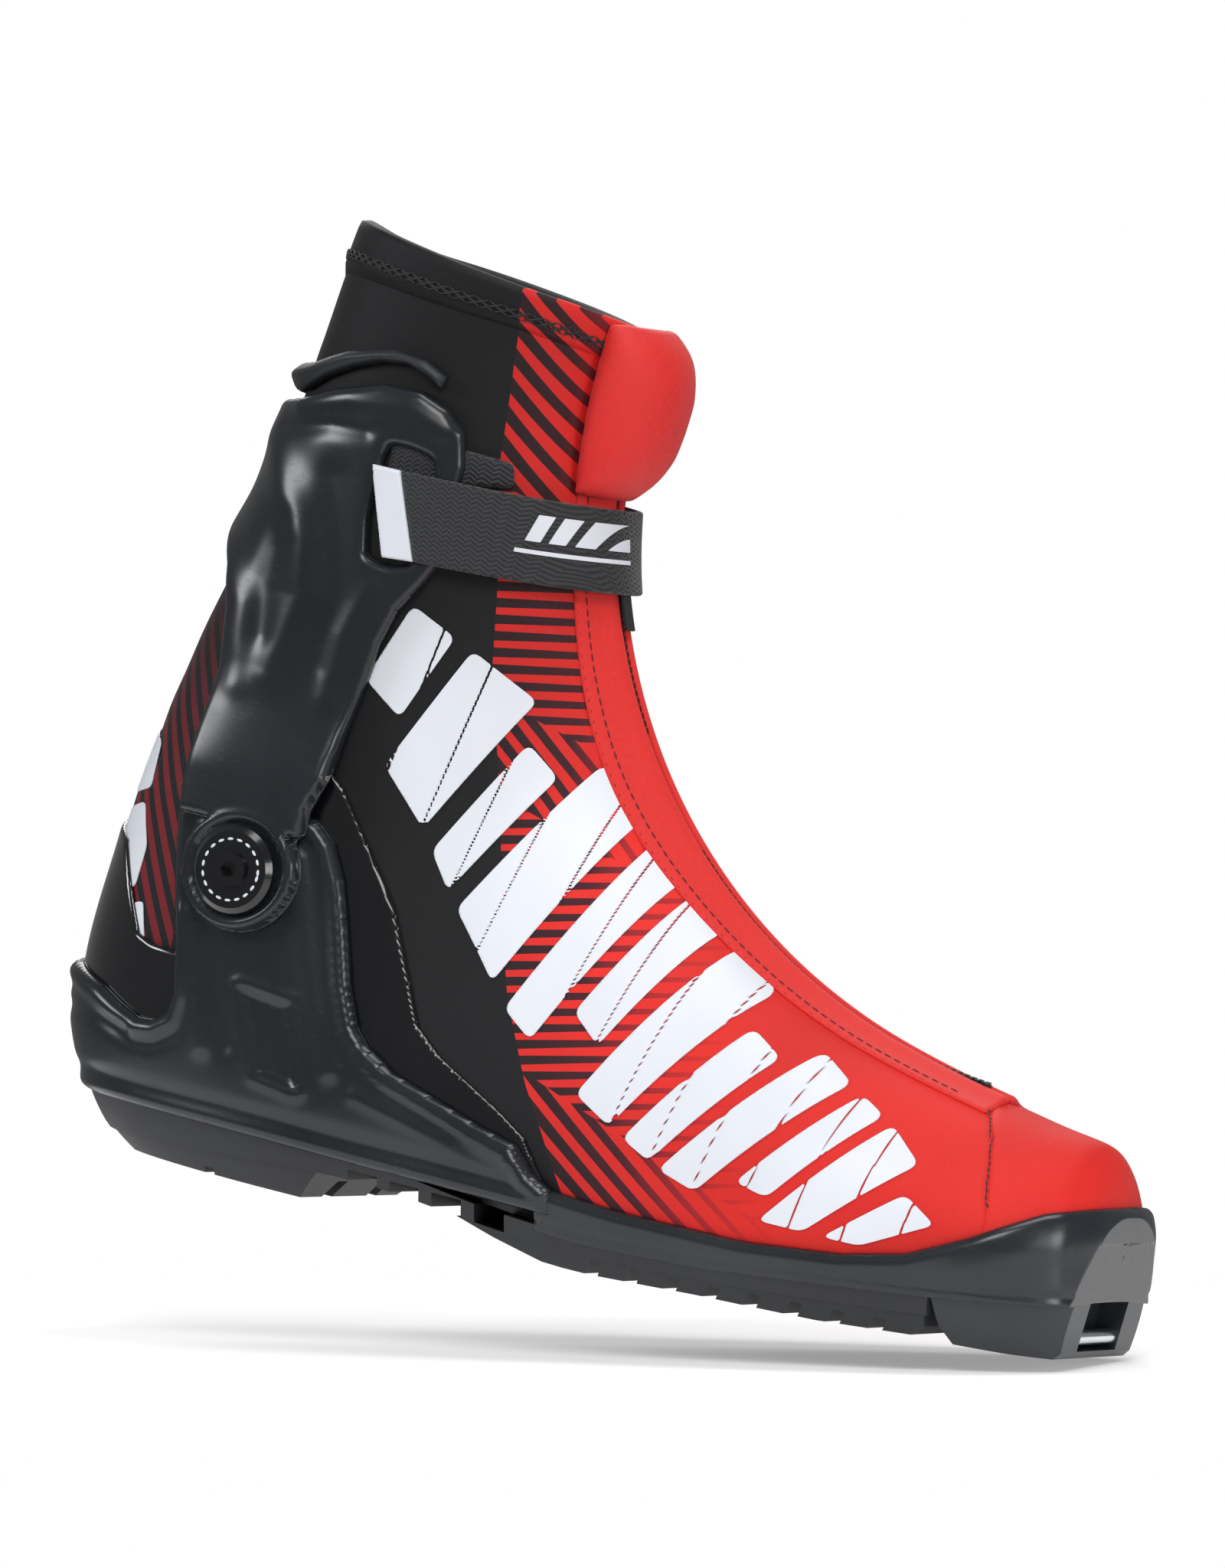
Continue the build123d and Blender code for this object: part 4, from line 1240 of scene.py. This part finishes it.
def build_tongue():
    """The padded tongue that flares in front of the collar."""
    def lift(p, edge):
        across = np.clip(1 - (np.abs(p[:, 1]) / (TONGUE_HALF + 0.4)) ** 2.6, 0, 1) ** 0.55
        return 0.5 + at_height(TONGUE_RISE, p) * across

    def field(p):
        return np.minimum.reduce([TONGUE_HALF - np.abs(p[:, 1]), p[:, 2] - TONGUE_FOOT, TONGUE_TOP - p[:, 2],
                                  12 - p[:, 0]])
    piece = skin("tongue_pad", field, 0.5, lift, (u_of(76), LAST - 0.005), (-0.9, 0.9), (70, 80))
    inflate(piece, 0.0024, 3.0, 14, sizes().tongue_swell)
    dress(piece, "tongue")
    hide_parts("tongue")
    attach(piece, BODY_CUFF)


def build_hardware():
    """Finishes for the CAD pieces that show as they are: the sole, toe bar and zip."""
    finish_nodes({"outsole": "sole", "heel_tread": "sole", "forefoot_tread": "sole", "lasting_board": "sole",
                  "toe_block": "toe", "toe_bar": "steel", "insole": "lining", "zip_tape_foot": "coil",
                  "zip_tape_shaft": "coil", "zip_teeth_foot": "coil", "zip_teeth_shaft": "coil",
                  "zip_slider": "slider", "zip_pull": "slider", "cuff_lining": "coil"})


AZIMUTH, ELEVATION, ROLL = radians(24), radians(4), radians(11.7)
DISTANCE, SENSOR = 3.2, 36                      # metres from the boot, and the sensor's height in millimetres
VIEW_HEIGHT = 409.6                             # millimetres that the frame's height shows at the boot
AIM_ACROSS, AIM_UP = 10.8, 122.6                # the frame's middle from the boot's origin, in millimetres
LIGHTS = [("key", (0.30, -1.35, 1.15), 0.7, 12, (1, 0.99, 0.97)),       # name, place, size, watts, colour
          ("side", (-1.35, -0.9, 0.55), 0.5, 8, (0.96, 0.98, 1)),
          ("front", (1.5, -0.65, 0.5), 0.6, 7, (1, 1, 1)),
          ("rim", (-0.9, 1.2, 1.0), 0.9, 10, (1, 1, 1)),
          ("top", (0.1, -0.1, 1.6), 0.8, 9, (1, 1, 1))]
LIT_SPOT = Vector((0, 0, 0.11))
FLOOR_TOUCH = Vector((148, 21, 6.5))            # where the toe touches the floor, in millimetres
FLOOR_WIDE, FLOOR_DEEP, FLOOR_POINTS = 420, 300, 96
FLOOR_TIP, FLOOR_GLOW = 0.028, 0.30             # its lean to the camera, and its own light


def build_stage():
    """The camera, the lights and a plain pale floor."""
    scene = bpy.context.scene
    right = Vector((cos(AZIMUTH), sin(AZIMUTH), 0))
    back = Vector((sin(AZIMUTH) * cos(ELEVATION), -cos(AZIMUTH) * cos(ELEVATION), sin(ELEVATION)))
    up = back.cross(right)
    x_axis = right * cos(ROLL) + up * sin(ROLL)
    y_axis = up * cos(ROLL) - right * sin(ROLL)
    camera = bpy.data.cameras.new("camera")
    camera.sensor_width, camera.sensor_fit = SENSOR, "AUTO"
    camera.lens, camera.clip_end = SENSOR * DISTANCE / (VIEW_HEIGHT * MM), 20
    holder = linked("camera", camera)
    matrix = Matrix((x_axis, y_axis, back)).transposed().to_4x4()
    matrix.translation = (x_axis * AIM_ACROSS + y_axis * AIM_UP) * MM + back * DISTANCE
    holder.matrix_world = matrix
    scene.camera = holder
    for name, place, size, power, color in LIGHTS:
        light = bpy.data.lights.new(name, "AREA")
        light.energy, light.size, light.color = power, size, color
        lamp = linked(name, light)
        lamp.location = place
        lamp.rotation_euler = (LIT_SPOT - Vector(place)).to_track_quat("-Z", "Y").to_euler()
    world = bpy.data.worlds.new("studio")
    scene.world = world
    world.use_nodes = True
    tree = world.node_tree
    sky = tree.nodes["Background"]
    sky.inputs["Color"].default_value = (1, 1, 1, 1)
    path = tree.nodes.new("ShaderNodeLightPath")
    seen = tree.nodes.new("ShaderNodeMath")
    seen.operation = "MULTIPLY_ADD"
    seen.inputs[1].default_value, seen.inputs[2].default_value = 1 - sizes().room_light, sizes().room_light
    tree.links.new(path.outputs["Is Camera Ray"], seen.inputs[0])
    tree.links.new(seen.outputs[0], sky.inputs["Strength"])
    scene.view_settings.view_transform = "Standard"
    up_floor = (y_axis + back * FLOOR_TIP).normalized()
    deep = up_floor.cross(x_axis)
    middle = FLOOR_TOUCH - x_axis * 150 - up_floor * 0.6
    rim = [middle + x_axis * FLOOR_WIDE * cos(a) + deep * FLOOR_DEEP * sin(a)
           for a in np.linspace(0, 2 * pi, FLOOR_POINTS + 1)[:-1]]
    floor = new_object("floor", [tuple(v) for v in rim], [tuple(range(FLOOR_POINTS))], smooth=False)
    made = Recipe("pale_floor", (0.9, 0.9, 0.9), 0.85, Emission_Color=(1, 1, 1, 1), Emission_Strength=FLOOR_GLOW,
                  Specular_IOR_Level=0.0)
    floor.data.materials.append(made.material)


def run_step(build):
    """Runs one builder; a new piece without faces stops the script."""
    before = set(bpy.data.objects)
    build()
    for piece in set(bpy.data.objects) - before:
        if piece.type == "MESH" and not piece.data.polygons:
            raise RuntimeError(f"{piece.name} has no faces")
    return {"FINISHED"}


class SKATEBOOT_OT_stage(bpy.types.Operator):
    """Adds the camera, the lights and the floor"""
    bl_idname = "skateboot.stage"
    bl_label = "Stage"

    def execute(self, context):
        return run_step(build_stage)


class SKATEBOOT_OT_upper(bpy.types.Operator):
    """Adds the outer cloth"""
    bl_idname = "skateboot.upper"
    bl_label = "Upper"

    def execute(self, context):
        return run_step(build_upper)


class SKATEBOOT_OT_lining(bpy.types.Operator):
    """Adds the brushed lining"""
    bl_idname = "skateboot.lining"
    bl_label = "Lining"

    def execute(self, context):
        return run_step(build_lining)


class SKATEBOOT_OT_collar(bpy.types.Operator):
    """Adds the folded collar and its zigzag stitches"""
    bl_idname = "skateboot.collar"
    bl_label = "Collar"

    def execute(self, context):
        return run_step(build_collar)


class SKATEBOOT_OT_print_blocks(bpy.types.Operator):
    """Adds the printed blocks on both sides and at the heel"""
    bl_idname = "skateboot.print_blocks"
    bl_label = "Print"

    def execute(self, context):
        return run_step(build_print)


class SKATEBOOT_OT_overlays(bpy.types.Operator):
    """Adds the welded films, the heel counter and the toe cap"""
    bl_idname = "skateboot.overlays"
    bl_label = "Overlays"

    def execute(self, context):
        return run_step(build_overlays)


class SKATEBOOT_OT_zip(bpy.types.Operator):
    """Adds the zip flaps and the seams beside them"""
    bl_idname = "skateboot.zip"
    bl_label = "Zip Flaps"

    def execute(self, context):
        return run_step(build_zip)


class SKATEBOOT_OT_shell(bpy.types.Operator):
    """Adds the heel shell and the toe rand"""
    bl_idname = "skateboot.shell"
    bl_label = "Shell"

    def execute(self, context):
        return run_step(build_shell)


class SKATEBOOT_OT_cuff(bpy.types.Operator):
    """Adds the cuff, its soft rim and the pivot marks"""
    bl_idname = "skateboot.cuff"
    bl_label = "Cuff"

    def execute(self, context):
        return run_step(build_cuff)


class SKATEBOOT_OT_strap(bpy.types.Operator):
    """Adds the strap, its tip, marks, fixed end and keeper"""
    bl_idname = "skateboot.strap"
    bl_label = "Strap"

    def execute(self, context):
        return run_step(build_strap)


class SKATEBOOT_OT_tongue(bpy.types.Operator):
    """Adds the padded tongue"""
    bl_idname = "skateboot.tongue"
    bl_label = "Tongue"

    def execute(self, context):
        return run_step(build_tongue)


class SKATEBOOT_OT_hardware(bpy.types.Operator):
    """Gives the sole, the toe bar and the zip their finishes"""
    bl_idname = "skateboot.hardware"
    bl_label = "Hardware"

    def execute(self, context):
        return run_step(build_hardware)


OPERATORS = (SKATEBOOT_OT_stage, SKATEBOOT_OT_upper, SKATEBOOT_OT_lining, SKATEBOOT_OT_collar,
             SKATEBOOT_OT_print_blocks, SKATEBOOT_OT_overlays, SKATEBOOT_OT_zip, SKATEBOOT_OT_shell,
             SKATEBOOT_OT_cuff, SKATEBOOT_OT_strap, SKATEBOOT_OT_tongue, SKATEBOOT_OT_hardware)


class SKATEBOOT_PT_panel(bpy.types.Panel):
    """Colours, sizes and pieces of the boot"""
    bl_idname = "SKATEBOOT_PT_panel"
    bl_label = "Skate Boot"
    bl_space_type, bl_region_type, bl_category = "VIEW_3D", "UI", "Skate Boot"

    def draw(self, context):
        for group in (context.scene.skate_boot_colors, context.scene.skate_boot_sizes):
            box = self.layout.box()
            for name in group.__annotations__:
                box.prop(group, name)
        column = self.layout.column(align=True)
        for step in OPERATORS:
            column.operator(step.bl_idname)


CLASSES = (SkateBootColors, SkateBootSizes, *OPERATORS, SKATEBOOT_PT_panel)


def register():
    for made in CLASSES:
        bpy.utils.register_class(made)
    bpy.types.Scene.skate_boot_colors = bpy.props.PointerProperty(type=SkateBootColors)
    bpy.types.Scene.skate_boot_sizes = bpy.props.PointerProperty(type=SkateBootSizes)


def unregister():
    del bpy.types.Scene.skate_boot_sizes
    del bpy.types.Scene.skate_boot_colors
    for made in reversed(CLASSES):
        bpy.utils.unregister_class(made)


def main():
    register()
    for step in OPERATORS:
        getattr(bpy.ops.skateboot, step.bl_idname.split(".")[1])()


if __name__ == "__main__":
    main()
